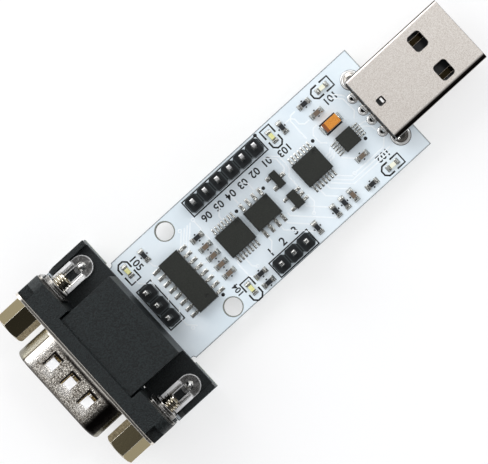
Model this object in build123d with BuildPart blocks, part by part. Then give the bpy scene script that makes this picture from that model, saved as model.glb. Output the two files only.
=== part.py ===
from build123d import *
from dataclasses import dataclass
from math import cos, radians, tan
import os

os.makedirs("parts", exist_ok=True)

# A USB to serial adapter module. X runs along the board with the USB plug at +X and the serial connector at -X,
# Y runs across it, and Z stands up from the surface that the tails under the board rest on. All sizes are in mm.

# Reach of the whole adapter along X
usb_overhang = 14.95  # plug beyond the board's edge
serial_overhang = 4.4  # metal face of the serial connector beyond the board's other end
nose_depth = 6.1  # D-shaped nose in front of that face

# Circuit board: a narrow strip that widens to a T under the serial connector
board_thickness = 1.6
strip_width = 20.0
strip_length = 50.25  # board's plug end to the T
wing_length = 8.15
wing_margin = 0.1  # board beyond the connector on each side
relief_radius = 0.5  # round relief in each inner corner of the T
tail_below = 1.5  # every tail and prong ends this far below the board
mounting_hole_radius = 1.5
mounting_hole_setback = 2.45  # middle of the serial driver to the middle of the holes
mounting_hole_spacing = 16.0

# Chosen clearances
tail_clearance = 0.2  # plated hole around a tail, on the radius
seat_clearance = 0.05  # a piece that is slipped into another, on each side
leg_clearance = 0.1  # plated hole around a flat leg's corners

# USB plug
usb_width = 12.0
usb_height = 4.5
usb_sheet = 0.3
usb_bend_radius = 0.5  # outside of the rolled edges
usb_shell_setback = 3.8  # shell reaches this far back over the board
usb_window_length = 2.42
usb_window_width = 2.9
usb_window_radius = 0.6
usb_window_spacing = 6.0
usb_window_reach = 8.71  # board's edge to the middle of the windows
usb_latch_size = 1.25
usb_latch_setback = 1.72
usb_latch_radius = 0.3
usb_latch_drop = 0.5  # underside of the latch tongue's free end below the sheet's top
usb_latch_reach = 0.6  # latch tongue from the hole's front edge
usb_latch_gap = 0.15  # slit on each side of the latch tongue
usb_leg_width = 1.8
usb_leg_setback = 2.57
usb_leg_taper = 0.5
usb_seam_gap = 0.08  # joint line where the rolled sheet meets under the plug
usb_base_setback = 3.6  # insulator behind the board's edge
usb_base_reach = 3.05  # thick base of the insulator beyond the board's edge
usb_tongue_thickness = 1.85
usb_tongue_inset = 0.45  # tongue's end behind the shell's rim
usb_tongue_chamfer = 0.4
usb_contact_thickness = 0.25
usb_contact_proud = 0.1  # contact above the tongue's top
usb_contact_width = 1.0
usb_tail_width = 0.6
usb_outer_contact_y = 3.5
usb_inner_contact_y = 1.0
usb_outer_contact_inset = 1.3  # contact's end behind the tongue's end
usb_inner_contact_inset = 2.3
usb_tail_setback = 4.27
usb_tail_bend = 0.4

# Serial connector: metal face plate and drawn nose
plate_margin = 2.9  # jack screw's middle to the plate's end
plate_height = 12.5
plate_thickness = 0.45
plate_corner_radius = 1.5
plate_lift = 0.15  # plate's lower edge above the board
nose_margin = 4.04  # jack screw's middle to the nose's inside
nose_height = 8.36  # inside
nose_corner_radius = 2.6
nose_lean = 10.0  # degrees that the nose's ends lean in towards the board
nose_wall = 0.4
nose_rim_radius = 0.6
nose_root_radius = 0.4
nose_lip = 0.2  # rim turned in past the wall's inside
lance_length = 2.4
lance_width = 1.65
lance_slot = 0.5  # opening at the lance's free end
lance_slit = 0.2  # opening along one side
lance_drop = 0.35
lance_distance = 2.9  # plate's face to the middle of a lance
lance_spacing = 3.87

# Serial connector: moulded housing
flange_thickness = 2.1
flange_corner_radius = 2.0
notch_width = 2.0
notch_depth = 1.6
notch_length = 1.9
side_block_margin = 4.4  # jack screw's middle to the side block's inner face
side_block_depth = 3.75  # behind the plate's back
centre_block_margin = 4.75  # jack screw's middle to the centre block
centre_block_drop = 0.45  # centre block's top below the plate's
housing_depth = 12.4  # plate's face to the housing's rear
housing_wall = 0.9
wing_floor_thickness = 1.9
wing_cut_depth = 5.1  # open corner of each wing ends this far behind the plate's face
rim_width = 0.9
rim_height = 3.5
rim_slant = 1.1
block_edge_radius = 0.5

# Serial connector: insulator and pins
insulator_proud = 0.4  # insulator's face in front of the plate
insulator_back = 4.4  # insulator's back behind the plate's face
pin_pitch = 2.77
pin_row_offset = 1.42
pin_radius = 0.5
pin_inset = 1.0  # pin's tip behind the nose's rim
pin_tail_size = 0.6
pin_bend_radius = 0.8
short_row_tail = 8.08  # tails of the lower row behind the face
long_row_tail = 10.92  # tails of the upper row

# Jack screws
jack_spacing = 25.0
jack_across_flats = 4.75
jack_length = 4.9
jack_chamfer = 0.45
jack_bore_radius = 1.42
jack_bore_depth = 4.3
jack_bore_chamfer = 0.3
stud_radius = 1.42
stud_length = 6.8  # behind the plate's face
stud_chamfer = 0.3
jack_turn_right = 13.0  # degrees that a corner of the +Y hexagon is turned from the Y direction
jack_turn_left = -7.0

# Brackets and board locks
bracket_sheet = 0.5
bracket_leg_gap = 0.15  # leg's edge inside the housing's end
bracket_leg_drop = 1.65  # leg's top below the plate's
bracket_leg_corner = 1.0
bracket_collar_wall = 0.75
bracket_collar_depth = 0.5
bracket_foot_width = 3.65
bracket_fold_radius = 1.0  # outside of the bends
bracket_side_height = 1.5
bracket_side_length = 4.1
bracket_post_depth = 9.5  # behind the plate's face
bracket_window_length = 2.24
bracket_window_width = 1.35
bracket_window_depth = 6.64  # behind the plate's face
lock_shank_radius = 1.35
lock_hook_radius = 1.75
lock_tip_radius = 0.95
lock_hook_height = 0.9
lock_slot = 0.7
lock_neck_radius = 0.55
lock_dome_radius = 0.75
lock_hole_radius = 1.6

# Pin headers
header_pitch = 2.54
header_height = 2.54
header_notch = 0.45
header_pin_size = 0.64
header_pin_height = 8.54  # tips above the board
header_pin_chamfer = 0.16
long_header_count = 6
short_header_count = 3

# Tantalum capacitor
tantalum_length = 3.2
tantalum_width = 1.6
tantalum_height = 1.6
tantalum_terminal_width = 1.2
tantalum_terminal_thickness = 0.15
tantalum_terminal_fold = 0.8
tantalum_lift = 0.05
tantalum_draft = 5.0

# Chip parts
chip_length = 1.6
chip_width = 0.8
resistor_height = 0.45
capacitor_height = 0.8
cap_length = 0.3
cap_wall = 0.03
led_base_height = 0.3
led_height = 0.65
led_lens_draft = 6.0

# Moulded packages
wide_pitch = 1.27
fine_pitch = 0.65
finest_pitch = 0.5
small_pitch = 0.95
mould_draft = 8.0
dimple_radius = 0.28
dimple_depth = 0.08
foot_share = 0.45  # of a lead's reach that lies on its pad
shank_lean = 0.35  # of the rest of its reach that the slanted shank covers

# Heights and places that follow
board_bottom = tail_below
board_top = board_bottom + board_thickness
board_length = strip_length + wing_length
overall_length = usb_overhang + board_length + serial_overhang + nose_depth
board_edge = overall_length / 2 - usb_overhang
face_x = board_edge - board_length - serial_overhang
plate_back_x = face_x + plate_thickness
nose_front_x = face_x - nose_depth
axis_z = board_top + plate_lift + plate_height / 2
plate_top_z = axis_z + plate_height / 2
jack_y = jack_spacing / 2
plate_half = jack_y + plate_margin
plate_width = 2 * plate_half
nose_width = jack_spacing - 2 * nose_margin
wing_half = plate_half + wing_margin
post_x = face_x + bracket_post_depth


def along(distance):
    """X of a point this far from the board's plug end, towards the serial connector."""
    return board_edge - distance


def save(piece, label):
    """Name a finished piece and write it."""
    piece.label = label
    export_step(piece, f"parts/{label}.step")


# Middle row of parts from the plug end: the length that each takes, and its share of the bare board before it
middle_row_parts = {
    "usb_bridge": (4.9, 2.38),
    "right_buffer": (5.0, 2.15),
    "voltage_regulator": (2.4, 1.65),
    "bus_driver": (4.9, 1.55),
    "left_buffer": (5.0, 0.8),
    "capacitors": (1.6, 1.2),
    "serial_driver": (6.0, 1.75),
    "cross_header": (2.54, 1.53),
}
row_end_share = 0.78  # bare board between the last of them and the serial connector
row_start = usb_tail_setback
row_length = board_length + serial_overhang - housing_depth - row_start
bare_length = row_length - sum(length for length, share in middle_row_parts.values())
bare_scale = bare_length / (sum(share for length, share in middle_row_parts.values()) + row_end_share)
middle_row = {}
reach = row_start
for label, (length, share) in middle_row_parts.items():
    middle_row[label] = reach + share * bare_scale + length / 2
    reach += share * bare_scale + length

# Places beside the middle row: distance from the plug end, Y, and turn about Z in degrees
beside_bridge = middle_row["usb_bridge"]
beside_right = middle_row["right_buffer"]
beside_bus = middle_row["bus_driver"]
beside_left = middle_row["left_buffer"]
beside_capacitors = middle_row["capacitors"]
beside_driver = middle_row["serial_driver"]
beside_cross = middle_row["cross_header"]
long_header_distance = beside_bus + 0.55
side_header_distance = beside_bus + 0.7
header_places = {
    "long_header": (long_header_distance, 8.0, 0),
    "side_header": (side_header_distance, -8.25, 0),
    "cross_header": (beside_cross, -0.15, 90),
}
header_counts = {
    "long_header": long_header_count,
    "side_header": short_header_count,
    "cross_header": short_header_count,
}
led_places = {
    "led_usb": (beside_bridge - 2.4, 8.0, 0),
    "led_power": (beside_bridge - 2.4, -8.45, 0),
    "led_logic": (long_header_distance - 9.65, 7.65, 90),
    "led_bus": (beside_left + 3.55, -7.8, 90),
    "led_serial": (beside_cross + 0.25, 7.25, 90),
}
resistor_places = (
    (long_header_distance - 11.8, 7.6, 90),
    (beside_driver + 2.5, 7.35, 90),
    (side_header_distance - 5.45, -7.75, 90),
    (beside_right + 1.9, -7.75, 90),
    (beside_right + 0.05, -7.75, 90),
    (beside_bridge + 1.4, 8.0, 0),
    (beside_bridge + 2.0, -8.5, 0),
    (beside_left + 0.9, -7.1, 0),
    (beside_left + 0.9, -8.95, 0),
    (beside_capacitors, 3.8, 0),
)
capacitor_places = (
    (beside_bridge + 0.9, 5.6, 0),
    (beside_bridge + 0.2, -4.2, 0),
    (beside_capacitors, 1.85, 0),
    (beside_capacitors, 0.0, 0),
    (beside_capacitors, -1.85, 0),
    (beside_capacitors, -3.7, 0),
    (beside_right - 1.75, -7.75, 90),
)
tantalum_place = (beside_bridge + 0.3, 2.85, 0)


def on_board(distance, y, turn):
    """Location of a piece that stands on the board."""
    return Location((along(distance), y, board_top), (0, 0, turn))


def place(piece, *locations):
    """Copies of a piece at these locations."""
    with BuildPart() as placed:
        with Locations(*locations):
            add(piece)
    return placed.part


def even_row(count, pitch):
    """Positions of equally spaced leads or pins about the middle of their row."""
    return [pitch * (index - (count - 1) / 2) for index in range(count)]


def header_pin_points(label):
    """Plan positions of one header's pins."""
    distance, y, turn = header_places[label]
    row = even_row(header_counts[label], header_pitch)
    if turn:
        return [(along(distance), y + step) for step in row]
    return [(along(distance) + step, y) for step in row]


def serial_pin_rows():
    """The two rows of pins: height, tail position behind the face, and the Y of each pin."""
    return (
        (axis_z + pin_row_offset, long_row_tail, even_row(5, pin_pitch)),
        (axis_z - pin_row_offset, short_row_tail, even_row(4, pin_pitch)),
    )


usb_contact_rows = (
    (usb_outer_contact_y, usb_outer_contact_inset),
    (usb_inner_contact_y, usb_inner_contact_inset),
)
usb_leg_y = (usb_width - usb_sheet) / 2

# Circuit board with its plain and plated holes
strip_half = strip_width / 2
wing_x = along(strip_length)
with BuildPart() as circuit_board:
    with BuildSketch(Plane.XY.offset(board_bottom)):
        with BuildLine():
            Polyline(
                (along(0), -strip_half),
                (along(0), strip_half),
                (wing_x, strip_half),
                (wing_x, wing_half),
                (along(board_length), wing_half),
                (along(board_length), -wing_half),
                (wing_x, -wing_half),
                (wing_x, -strip_half),
                close=True,
            )
        make_face()
        with Locations((wing_x, strip_half), (wing_x, -strip_half)):
            Circle(relief_radius, mode=Mode.SUBTRACT)
        with Locations((along(middle_row["serial_driver"] - mounting_hole_setback), 0)):
            with GridLocations(mounting_hole_spacing, mounting_hole_spacing, 1, 2):
                Circle(mounting_hole_radius, mode=Mode.SUBTRACT)
        for label in header_places:
            with Locations(*header_pin_points(label)):
                Circle(header_pin_size / 2**0.5 + leg_clearance, mode=Mode.SUBTRACT)
        for y, inset in usb_contact_rows:
            with Locations((along(usb_tail_setback), y), (along(usb_tail_setback), -y)):
                Circle(usb_tail_width / 2 + tail_clearance, mode=Mode.SUBTRACT)
        with Locations((along(usb_leg_setback), usb_leg_y), (along(usb_leg_setback), -usb_leg_y)):
            Circle(usb_leg_width / 2 + tail_clearance, mode=Mode.SUBTRACT)
        for height, tail, row in serial_pin_rows():
            with Locations(*[(face_x + tail, y) for y in row]):
                Circle(pin_tail_size / 2 + tail_clearance, mode=Mode.SUBTRACT)
        with Locations((post_x, jack_y), (post_x, -jack_y)):
            Circle(lock_hole_radius, mode=Mode.SUBTRACT)
    extrude(amount=board_thickness)
save(circuit_board.part, "circuit_board")

# USB plug's shell: sheet rolled to a tube, with windows, a latch tongue and two legs through the board
usb_rear_x = along(usb_shell_setback)
usb_front_x = along(-usb_overhang)
usb_axis_z = board_top + usb_height / 2
usb_top_z = board_top + usb_height
latch_x = along(usb_latch_setback)
latch_half = usb_latch_size / 2
latch_front_x = latch_x + latch_half
with BuildPart() as usb_shell:
    with BuildSketch(Plane.YZ.offset(usb_rear_x)):
        with Locations((0, usb_axis_z)):
            RectangleRounded(usb_width, usb_height, usb_bend_radius)
            RectangleRounded(
                usb_width - 2 * usb_sheet,
                usb_height - 2 * usb_sheet,
                usb_bend_radius - usb_sheet,
                mode=Mode.SUBTRACT,
            )
    extrude(amount=usb_front_x - usb_rear_x)
    # Two windows in the top and two below them
    with BuildSketch(Plane.XY.offset(board_top)):
        with Locations((along(-usb_window_reach), 0)):
            with GridLocations(usb_window_spacing, usb_window_spacing, 1, 2):
                RectangleRounded(usb_window_length, usb_window_width, usb_window_radius)
    extrude(amount=usb_height, mode=Mode.SUBTRACT)
    # Joint line under the plug
    with BuildSketch(Plane.XY.offset(board_top)):
        with Locations((usb_rear_x, 0)):
            Rectangle(usb_front_x - usb_rear_x, usb_seam_gap, align=(Align.MIN, Align.CENTER))
    extrude(amount=usb_sheet, mode=Mode.SUBTRACT)
    # Latch hole and the short tongue that is pressed down from its front edge
    with BuildSketch(Plane.XY.offset(usb_top_z - usb_sheet)):
        with Locations((latch_x, 0)):
            RectangleRounded(usb_latch_size, usb_latch_size, usb_latch_radius)
    extrude(amount=usb_sheet, mode=Mode.SUBTRACT)
    with BuildSketch(Plane.XZ):
        with BuildLine():
            Polyline(
                (latch_front_x, usb_top_z),
                (latch_front_x - usb_latch_reach, usb_top_z - usb_latch_drop + usb_sheet),
                (latch_front_x - usb_latch_reach, usb_top_z - usb_latch_drop),
                (latch_front_x, usb_top_z - usb_sheet),
                close=True,
            )
        make_face()
    extrude(amount=latch_half - usb_latch_gap, both=True)
    # Legs with tapered ends
    for side in (1, -1):
        with BuildSketch(Plane.XZ.offset(-side * usb_leg_y)):
            with BuildLine():
                Polyline(
                    (along(usb_leg_setback) - usb_leg_width / 2, usb_axis_z),
                    (along(usb_leg_setback) - usb_leg_width / 2, board_bottom),
                    (along(usb_leg_setback) - usb_leg_width / 2 + usb_leg_taper, 0),
                    (along(usb_leg_setback) + usb_leg_width / 2 - usb_leg_taper, 0),
                    (along(usb_leg_setback) + usb_leg_width / 2, board_bottom),
                    (along(usb_leg_setback) + usb_leg_width / 2, usb_axis_z),
                    close=True,
                )
            make_face()
        extrude(amount=usb_sheet / 2, both=True)
save(usb_shell.part, "usb_shell")

# USB contacts: flat springs on the tongue that run back through the base and down through the board
tongue_bottom_z = board_top + usb_sheet + seat_clearance
tongue_top_z = tongue_bottom_z + usb_tongue_thickness
tongue_end_x = usb_front_x - usb_tongue_inset
contact_z = tongue_top_z + usb_contact_proud - usb_contact_thickness / 2
with BuildPart() as usb_contacts:
    for side in (1, -1):
        for y, inset in usb_contact_rows:
            with BuildSketch(Plane.XZ.offset(-side * y)):
                with BuildLine():
                    FilletPolyline(
                        (along(-usb_base_reach), contact_z),
                        (along(usb_tail_setback), contact_z),
                        (along(usb_tail_setback), 0),
                        radius=usb_tail_bend,
                    )
                trace(line_width=usb_contact_thickness)
            extrude(amount=usb_tail_width / 2, both=True)
            with BuildSketch(Plane.XY.offset(contact_z)):
                with Locations((along(-usb_base_reach), side * y)):
                    Rectangle(
                        tongue_end_x - inset - along(-usb_base_reach),
                        usb_contact_width,
                        align=(Align.MIN, Align.CENTER),
                    )
            extrude(amount=usb_contact_thickness / 2, both=True)
save(usb_contacts.part, "usb_contacts")

# USB insulator: a base that fills the shell and a tongue that carries the contacts
usb_inner_width = usb_width - 2 * (usb_sheet + seat_clearance)
base_top_z = usb_top_z - usb_sheet - seat_clearance
with BuildPart() as usb_insulator:
    with BuildSketch(Plane.XZ):
        with BuildLine():
            Polyline(
                (along(usb_base_setback), tongue_bottom_z),
                (tongue_end_x, tongue_bottom_z),
                (tongue_end_x, tongue_top_z - usb_tongue_chamfer),
                (tongue_end_x - usb_tongue_chamfer, tongue_top_z),
                (along(-usb_base_reach), tongue_top_z),
                (along(-usb_base_reach), base_top_z),
                (along(usb_base_setback), base_top_z),
                close=True,
            )
        make_face()
    extrude(amount=usb_inner_width / 2, both=True)
    long_edges = usb_insulator.edges().filter_by(Axis.X).group_by(Axis.Z)
    fillet(long_edges[0] + long_edges[-1], usb_bend_radius - usb_sheet)
    # Recess under the latch tongue
    with BuildSketch(Plane.XY.offset(usb_top_z)):
        with Locations((latch_x, 0)):
            Rectangle(usb_latch_size, usb_latch_size)
    extrude(amount=-usb_latch_drop - seat_clearance, mode=Mode.SUBTRACT)
    add(usb_contacts.part, mode=Mode.SUBTRACT)
save(usb_insulator.part, "usb_insulator")


def d_profile(grow):
    """D-shaped outline, wide side up, this much larger all round than the nose's inside."""
    corner = nose_corner_radius + grow
    lean = radians(nose_lean)
    widest = nose_width + 2 * grow + 2 * corner * (tan(lean) + 1 / cos(lean) - 1)
    with BuildSketch(mode=Mode.PRIVATE) as profile:
        Trapezoid(widest, nose_height + 2 * grow, 90 - nose_lean, rotation=180)
        fillet(profile.vertices(), corner)
    return profile.sketch


# Serial connector's front: a face plate with the nose drawn out of it
d_outer = d_profile(nose_wall)
d_inner = d_profile(0)
d_opening = d_profile(-nose_lip)
with BuildPart() as serial_front_shell:
    with BuildSketch(Plane.YZ.offset(nose_front_x)):
        with Locations((0, axis_z)):
            add(d_outer)
    extrude(amount=nose_depth)
    fillet(serial_front_shell.faces().sort_by(Axis.X)[0].edges(), nose_rim_radius)
    with BuildSketch(Plane.YZ.offset(face_x)):
        with Locations((0, axis_z)):
            RectangleRounded(plate_width, plate_height, plate_corner_radius)
    extrude(amount=plate_thickness)
    # Rounded root where the nose is drawn out of the plate
    nose_reach = nose_height / 2 + 2 * nose_wall
    root_edges = (
        serial_front_shell.edges()
        .filter_by_position(Axis.X, face_x, face_x)
        .filter_by_position(Axis.Z, axis_z - nose_reach, axis_z + nose_reach)
        .filter_by_position(Axis.Y, -nose_width, nose_width)
    )
    fillet(root_edges.filter_by(lambda edge: abs(edge.center().Y) < nose_width * 0.6), nose_root_radius)
    with BuildSketch(Plane.YZ.offset(face_x)):
        with Locations((0, axis_z)):
            with GridLocations(jack_spacing, jack_spacing, 2, 1):
                Circle(stud_radius + seat_clearance)
    extrude(amount=plate_thickness, mode=Mode.SUBTRACT)
    with BuildSketch(Plane.YZ.offset(plate_back_x)):
        with Locations((0, axis_z)):
            add(d_inner)
    extrude(amount=-(plate_thickness + nose_depth - nose_wall), mode=Mode.SUBTRACT)
    with BuildSketch(Plane.YZ.offset(nose_front_x)):
        with Locations((0, axis_z)):
            add(d_opening)
    extrude(amount=nose_wall, mode=Mode.SUBTRACT)
    # Lances pressed in from the top and the underside
    lance_rear_x = face_x - lance_distance + lance_length / 2
    for side in (1, -1):
        wall_out_z = axis_z + side * (nose_height / 2 + nose_wall)
        wall_in_z = axis_z + side * nose_height / 2
        with BuildSketch(Plane.XY.offset(min(wall_in_z, wall_out_z))):
            with Locations((lance_rear_x, 0)):
                with GridLocations(lance_spacing, lance_spacing, 1, 3):
                    Rectangle(lance_length, lance_width, align=(Align.MAX, Align.CENTER))
        extrude(amount=nose_wall, mode=Mode.SUBTRACT)
        for y in (-lance_spacing, 0, lance_spacing):
            with BuildSketch(Plane.XZ.offset(lance_width / 2 - y)):
                with BuildLine():
                    Polyline(
                        (lance_rear_x - lance_length, wall_out_z),
                        (lance_rear_x - lance_slot, wall_out_z - side * lance_drop),
                        (lance_rear_x - lance_slot, wall_in_z - side * lance_drop),
                        (lance_rear_x - lance_length, wall_in_z),
                        close=True,
                    )
                make_face()
            extrude(amount=-(lance_width - lance_slit))
save(serial_front_shell.part, "serial_front_shell")

# Serial connector's moulded housing
block_back_x = plate_back_x + side_block_depth
flange_back_x = plate_back_x + flange_thickness
housing_rear_x = face_x + housing_depth
wing_cut_x = face_x + wing_cut_depth
centre_half = jack_y - centre_block_margin
centre_top_z = plate_top_z - centre_block_drop
wing_top_z = board_top + wing_floor_thickness
insulator_back_x = face_x + insulator_back
with BuildPart() as serial_housing:
    with BuildSketch(Plane.YZ.offset(plate_back_x)):
        with Locations((0, axis_z)):
            RectangleRounded(plate_width, plate_height, flange_corner_radius)
    extrude(amount=side_block_depth)
    # Only the two side blocks are as deep as that, with a groove beside the centre block
    with BuildSketch(Plane.YZ.offset(flange_back_x)):
        with Locations((0, axis_z)):
            Rectangle(jack_spacing - 2 * side_block_margin, 2 * plate_height)
    extrude(amount=side_block_depth, mode=Mode.SUBTRACT)
    with BuildSketch(Plane.YZ.offset(flange_back_x)):
        with Locations((0, board_top)):
            Rectangle(2 * centre_half, centre_top_z - board_top, align=(Align.CENTER, Align.MIN))
    extrude(amount=housing_rear_x - flange_back_x)
    fillet(serial_housing.edges().filter_by(Axis.Y).sort_by(Axis.X)[-2:].sort_by(Axis.Z)[-1], block_edge_radius)
    # Low wings that carry the brackets
    with BuildSketch(Plane.XY.offset(board_top)):
        with Locations((block_back_x, 0)):
            Rectangle(housing_rear_x - block_back_x, plate_width, align=(Align.MIN, Align.CENTER))
    extrude(amount=wing_floor_thickness)
    for side in (1, -1):
        with BuildSketch(Plane.XZ.offset(-side * plate_half)):
            with BuildLine():
                Polyline(
                    (wing_cut_x, board_top),
                    (wing_cut_x, wing_top_z),
                    (wing_cut_x + rim_slant, board_top + rim_height),
                    (housing_rear_x, board_top + rim_height),
                    (housing_rear_x, board_top),
                    close=True,
                )
            make_face()
        extrude(amount=side * rim_width)
        with BuildSketch(Plane.XY.offset(board_top)):
            with Locations((block_back_x, side * plate_half)):
                Rectangle(2 * (wing_cut_x - block_back_x), 2 * rim_width)
        extrude(amount=wing_floor_thickness, mode=Mode.SUBTRACT)
        # Notch in the flange's upper front corner
        with BuildSketch(Plane.YZ.offset(plate_back_x)):
            with Locations((side * plate_half, axis_z + plate_height / 2)):
                Rectangle(2 * notch_width, 2 * notch_depth)
        extrude(amount=notch_length, mode=Mode.SUBTRACT)
    # Seat of the insulator, and the hollow behind it that the pins turn down in
    with BuildSketch(Plane.YZ.offset(plate_back_x)):
        with Locations((0, axis_z)):
            add(d_inner)
    extrude(amount=insulator_back_x - plate_back_x, mode=Mode.SUBTRACT)
    with BuildSketch(Plane.XY.offset(board_top)):
        with Locations((insulator_back_x, 0)):
            Rectangle(
                housing_rear_x - housing_wall - insulator_back_x,
                2 * (centre_half - housing_wall),
                align=(Align.MIN, Align.CENTER),
            )
    extrude(amount=centre_top_z - board_top - housing_wall, mode=Mode.SUBTRACT)
    # Holes for the studs and the board locks
    with BuildSketch(Plane.YZ.offset(plate_back_x)):
        with Locations((0, axis_z)):
            with GridLocations(jack_spacing, jack_spacing, 2, 1):
                Circle(stud_radius + seat_clearance)
    extrude(amount=side_block_depth, mode=Mode.SUBTRACT)
    with BuildSketch(Plane.XY.offset(board_top)):
        with Locations((post_x, jack_y), (post_x, -jack_y)):
            Circle(lock_shank_radius + seat_clearance)
    extrude(amount=wing_floor_thickness, mode=Mode.SUBTRACT)
save(serial_housing.part, "serial_housing")

# Pins: round in the nose, square where they bend down to their tails
pin_tip_x = nose_front_x + pin_inset
with BuildPart() as pin_front:
    with BuildSketch(Plane.XZ):
        with BuildLine():
            Polyline((pin_tip_x, 0), (insulator_back_x, 0), (insulator_back_x, pin_radius))
            Line((insulator_back_x, pin_radius), (pin_tip_x + pin_radius, pin_radius))
            RadiusArc((pin_tip_x + pin_radius, pin_radius), (pin_tip_x, 0), -pin_radius)
        make_face()
    revolve(axis=Axis.X)
with BuildPart() as serial_pins:
    for height, tail, row in serial_pin_rows():
        with Locations(*[(0, y, height) for y in row]):
            add(pin_front.part)
        for y in row:
            with BuildSketch(Plane.XZ.offset(-y)):
                with BuildLine():
                    FilletPolyline(
                        (insulator_back_x, height),
                        (face_x + tail, height),
                        (face_x + tail, 0),
                        radius=pin_bend_radius,
                    )
                trace(line_width=pin_tail_size)
            extrude(amount=pin_tail_size / 2, both=True)
save(serial_pins.part, "serial_pins")

# Insulator that holds the pins, seated in the housing and the nose
insulator_front_x = face_x - insulator_proud
with BuildPart() as serial_insulator:
    with BuildSketch(Plane.YZ.offset(insulator_front_x)):
        with Locations((0, axis_z)):
            add(d_profile(-seat_clearance))
    extrude(amount=insulator_back_x - insulator_front_x)
    add(serial_pins.part, mode=Mode.SUBTRACT)
save(serial_insulator.part, "serial_insulator")

# Jack screws: a threaded hexagon in front of the plate and a stud through plate, housing and bracket
hex_radius = jack_across_flats / 2 / cos(radians(30))
with BuildPart() as jack_screw:
    with BuildSketch(Plane.YZ):
        RegularPolygon(hex_radius, 6)
    extrude(amount=-jack_length)
    with BuildSketch(Plane.YZ):
        Circle(hex_radius)
    extrude(amount=-jack_length, mode=Mode.INTERSECT)
    with BuildSketch(Plane.YZ):
        Circle(stud_radius)
    extrude(amount=stud_length)
    chamfer(jack_screw.faces().sort_by(Axis.X)[-1].edges(), stud_chamfer)
    with BuildSketch(Plane.XZ):
        with BuildLine():
            Polyline(
                (-jack_length, jack_across_flats / 2),
                (-jack_length, hex_radius + jack_chamfer),
                (-jack_length + jack_chamfer, hex_radius + jack_chamfer),
                close=True,
            )
        make_face()
    revolve(axis=Axis.X, mode=Mode.SUBTRACT)
    with BuildSketch(Plane.XZ):
        with BuildLine():
            Polyline(
                (-jack_length, 0),
                (-jack_length, jack_bore_radius + jack_bore_chamfer),
                (-jack_length + jack_bore_chamfer, jack_bore_radius),
                (-jack_length + jack_bore_depth, jack_bore_radius),
                (-jack_length + jack_bore_depth, 0),
                close=True,
            )
        make_face()
    revolve(axis=Axis.X, mode=Mode.SUBTRACT)
jack_locations = (
    Location((face_x, jack_y, axis_z), (jack_turn_right, 0, 0)),
    Location((face_x, -jack_y, axis_z), (jack_turn_left, 0, 0)),
)
save(place(jack_screw.part, *jack_locations), "jack_screws")

# Brackets: a leg on the stud and a channel-shaped foot on the wing, cut and folded from one sheet
foot_bottom_z = wing_top_z
foot_top_z = foot_bottom_z + bracket_sheet
foot_half = bracket_foot_width / 2
leg_width = 2 * (plate_margin - bracket_leg_gap)
leg_x = block_back_x
leg_back_x = leg_x + bracket_sheet
fold_centre = bracket_fold_radius - bracket_sheet / 2
side_top_z = foot_bottom_z + bracket_side_height
with BuildPart() as bracket:
    with BuildSketch(Plane.YZ.offset(leg_x)) as leg_outline:
        with Locations((0, side_top_z)):
            Rectangle(
                leg_width,
                plate_top_z - bracket_leg_drop - side_top_z,
                align=(Align.CENTER, Align.MIN),
            )
        fillet(leg_outline.vertices(), bracket_leg_corner)
        with Locations((0, foot_bottom_z + bracket_fold_radius)):
            Rectangle(
                bracket_foot_width,
                bracket_leg_corner + bracket_side_height,
                align=(Align.CENTER, Align.MIN),
            )
    extrude(amount=bracket_sheet)
    # Fold between the leg and the foot
    with BuildSketch(Plane.XZ):
        with BuildLine():
            FilletPolyline(
                (leg_x + bracket_sheet / 2, foot_bottom_z + 2 * bracket_fold_radius),
                (leg_x + bracket_sheet / 2, foot_bottom_z + bracket_sheet / 2),
                (leg_x + 2 * bracket_fold_radius, foot_bottom_z + bracket_sheet / 2),
                radius=fold_centre,
            )
        trace(line_width=bracket_sheet)
    extrude(amount=foot_half - bracket_fold_radius, both=True)
    # Channel with its sides folded up
    with BuildSketch(Plane.YZ.offset(leg_back_x)):
        with BuildLine():
            FilletPolyline(
                (-foot_half + bracket_sheet / 2, side_top_z),
                (-foot_half + bracket_sheet / 2, foot_bottom_z + bracket_sheet / 2),
                (foot_half - bracket_sheet / 2, foot_bottom_z + bracket_sheet / 2),
                (foot_half - bracket_sheet / 2, side_top_z),
                radius=fold_centre,
            )
        trace(line_width=bracket_sheet)
    extrude(amount=bracket_side_length)
    # Round end of the foot
    with BuildSketch(Plane.XY.offset(foot_bottom_z)):
        with Locations((post_x, 0)):
            Circle(foot_half)
            Rectangle(
                post_x - leg_back_x - bracket_side_length,
                bracket_foot_width,
                align=(Align.MAX, Align.CENTER),
            )
    extrude(amount=bracket_sheet)
    # Collar that the stud is screwed into
    with BuildSketch(Plane.YZ.offset(leg_back_x)):
        with Locations((0, axis_z)):
            Circle(stud_radius + bracket_collar_wall)
    extrude(amount=bracket_collar_depth)
    with BuildSketch(Plane.YZ.offset(leg_x)):
        with Locations((0, axis_z)):
            Circle(stud_radius + seat_clearance)
    extrude(amount=bracket_sheet + bracket_collar_depth, mode=Mode.SUBTRACT)
    # Window in the foot and hole of the board lock's neck
    with BuildSketch(Plane.XY.offset(foot_bottom_z)):
        with Locations((face_x + bracket_window_depth, 0)):
            Rectangle(bracket_window_length, bracket_window_width, align=(Align.MIN, Align.CENTER))
        with Locations((post_x, 0)):
            Circle(lock_neck_radius)
    extrude(amount=bracket_sheet, mode=Mode.SUBTRACT)
save(place(bracket.part, Location((0, jack_y, 0))), "serial_bracket_right")
save(place(bracket.part, Location((0, -jack_y, 0))), "serial_bracket_left")

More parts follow.
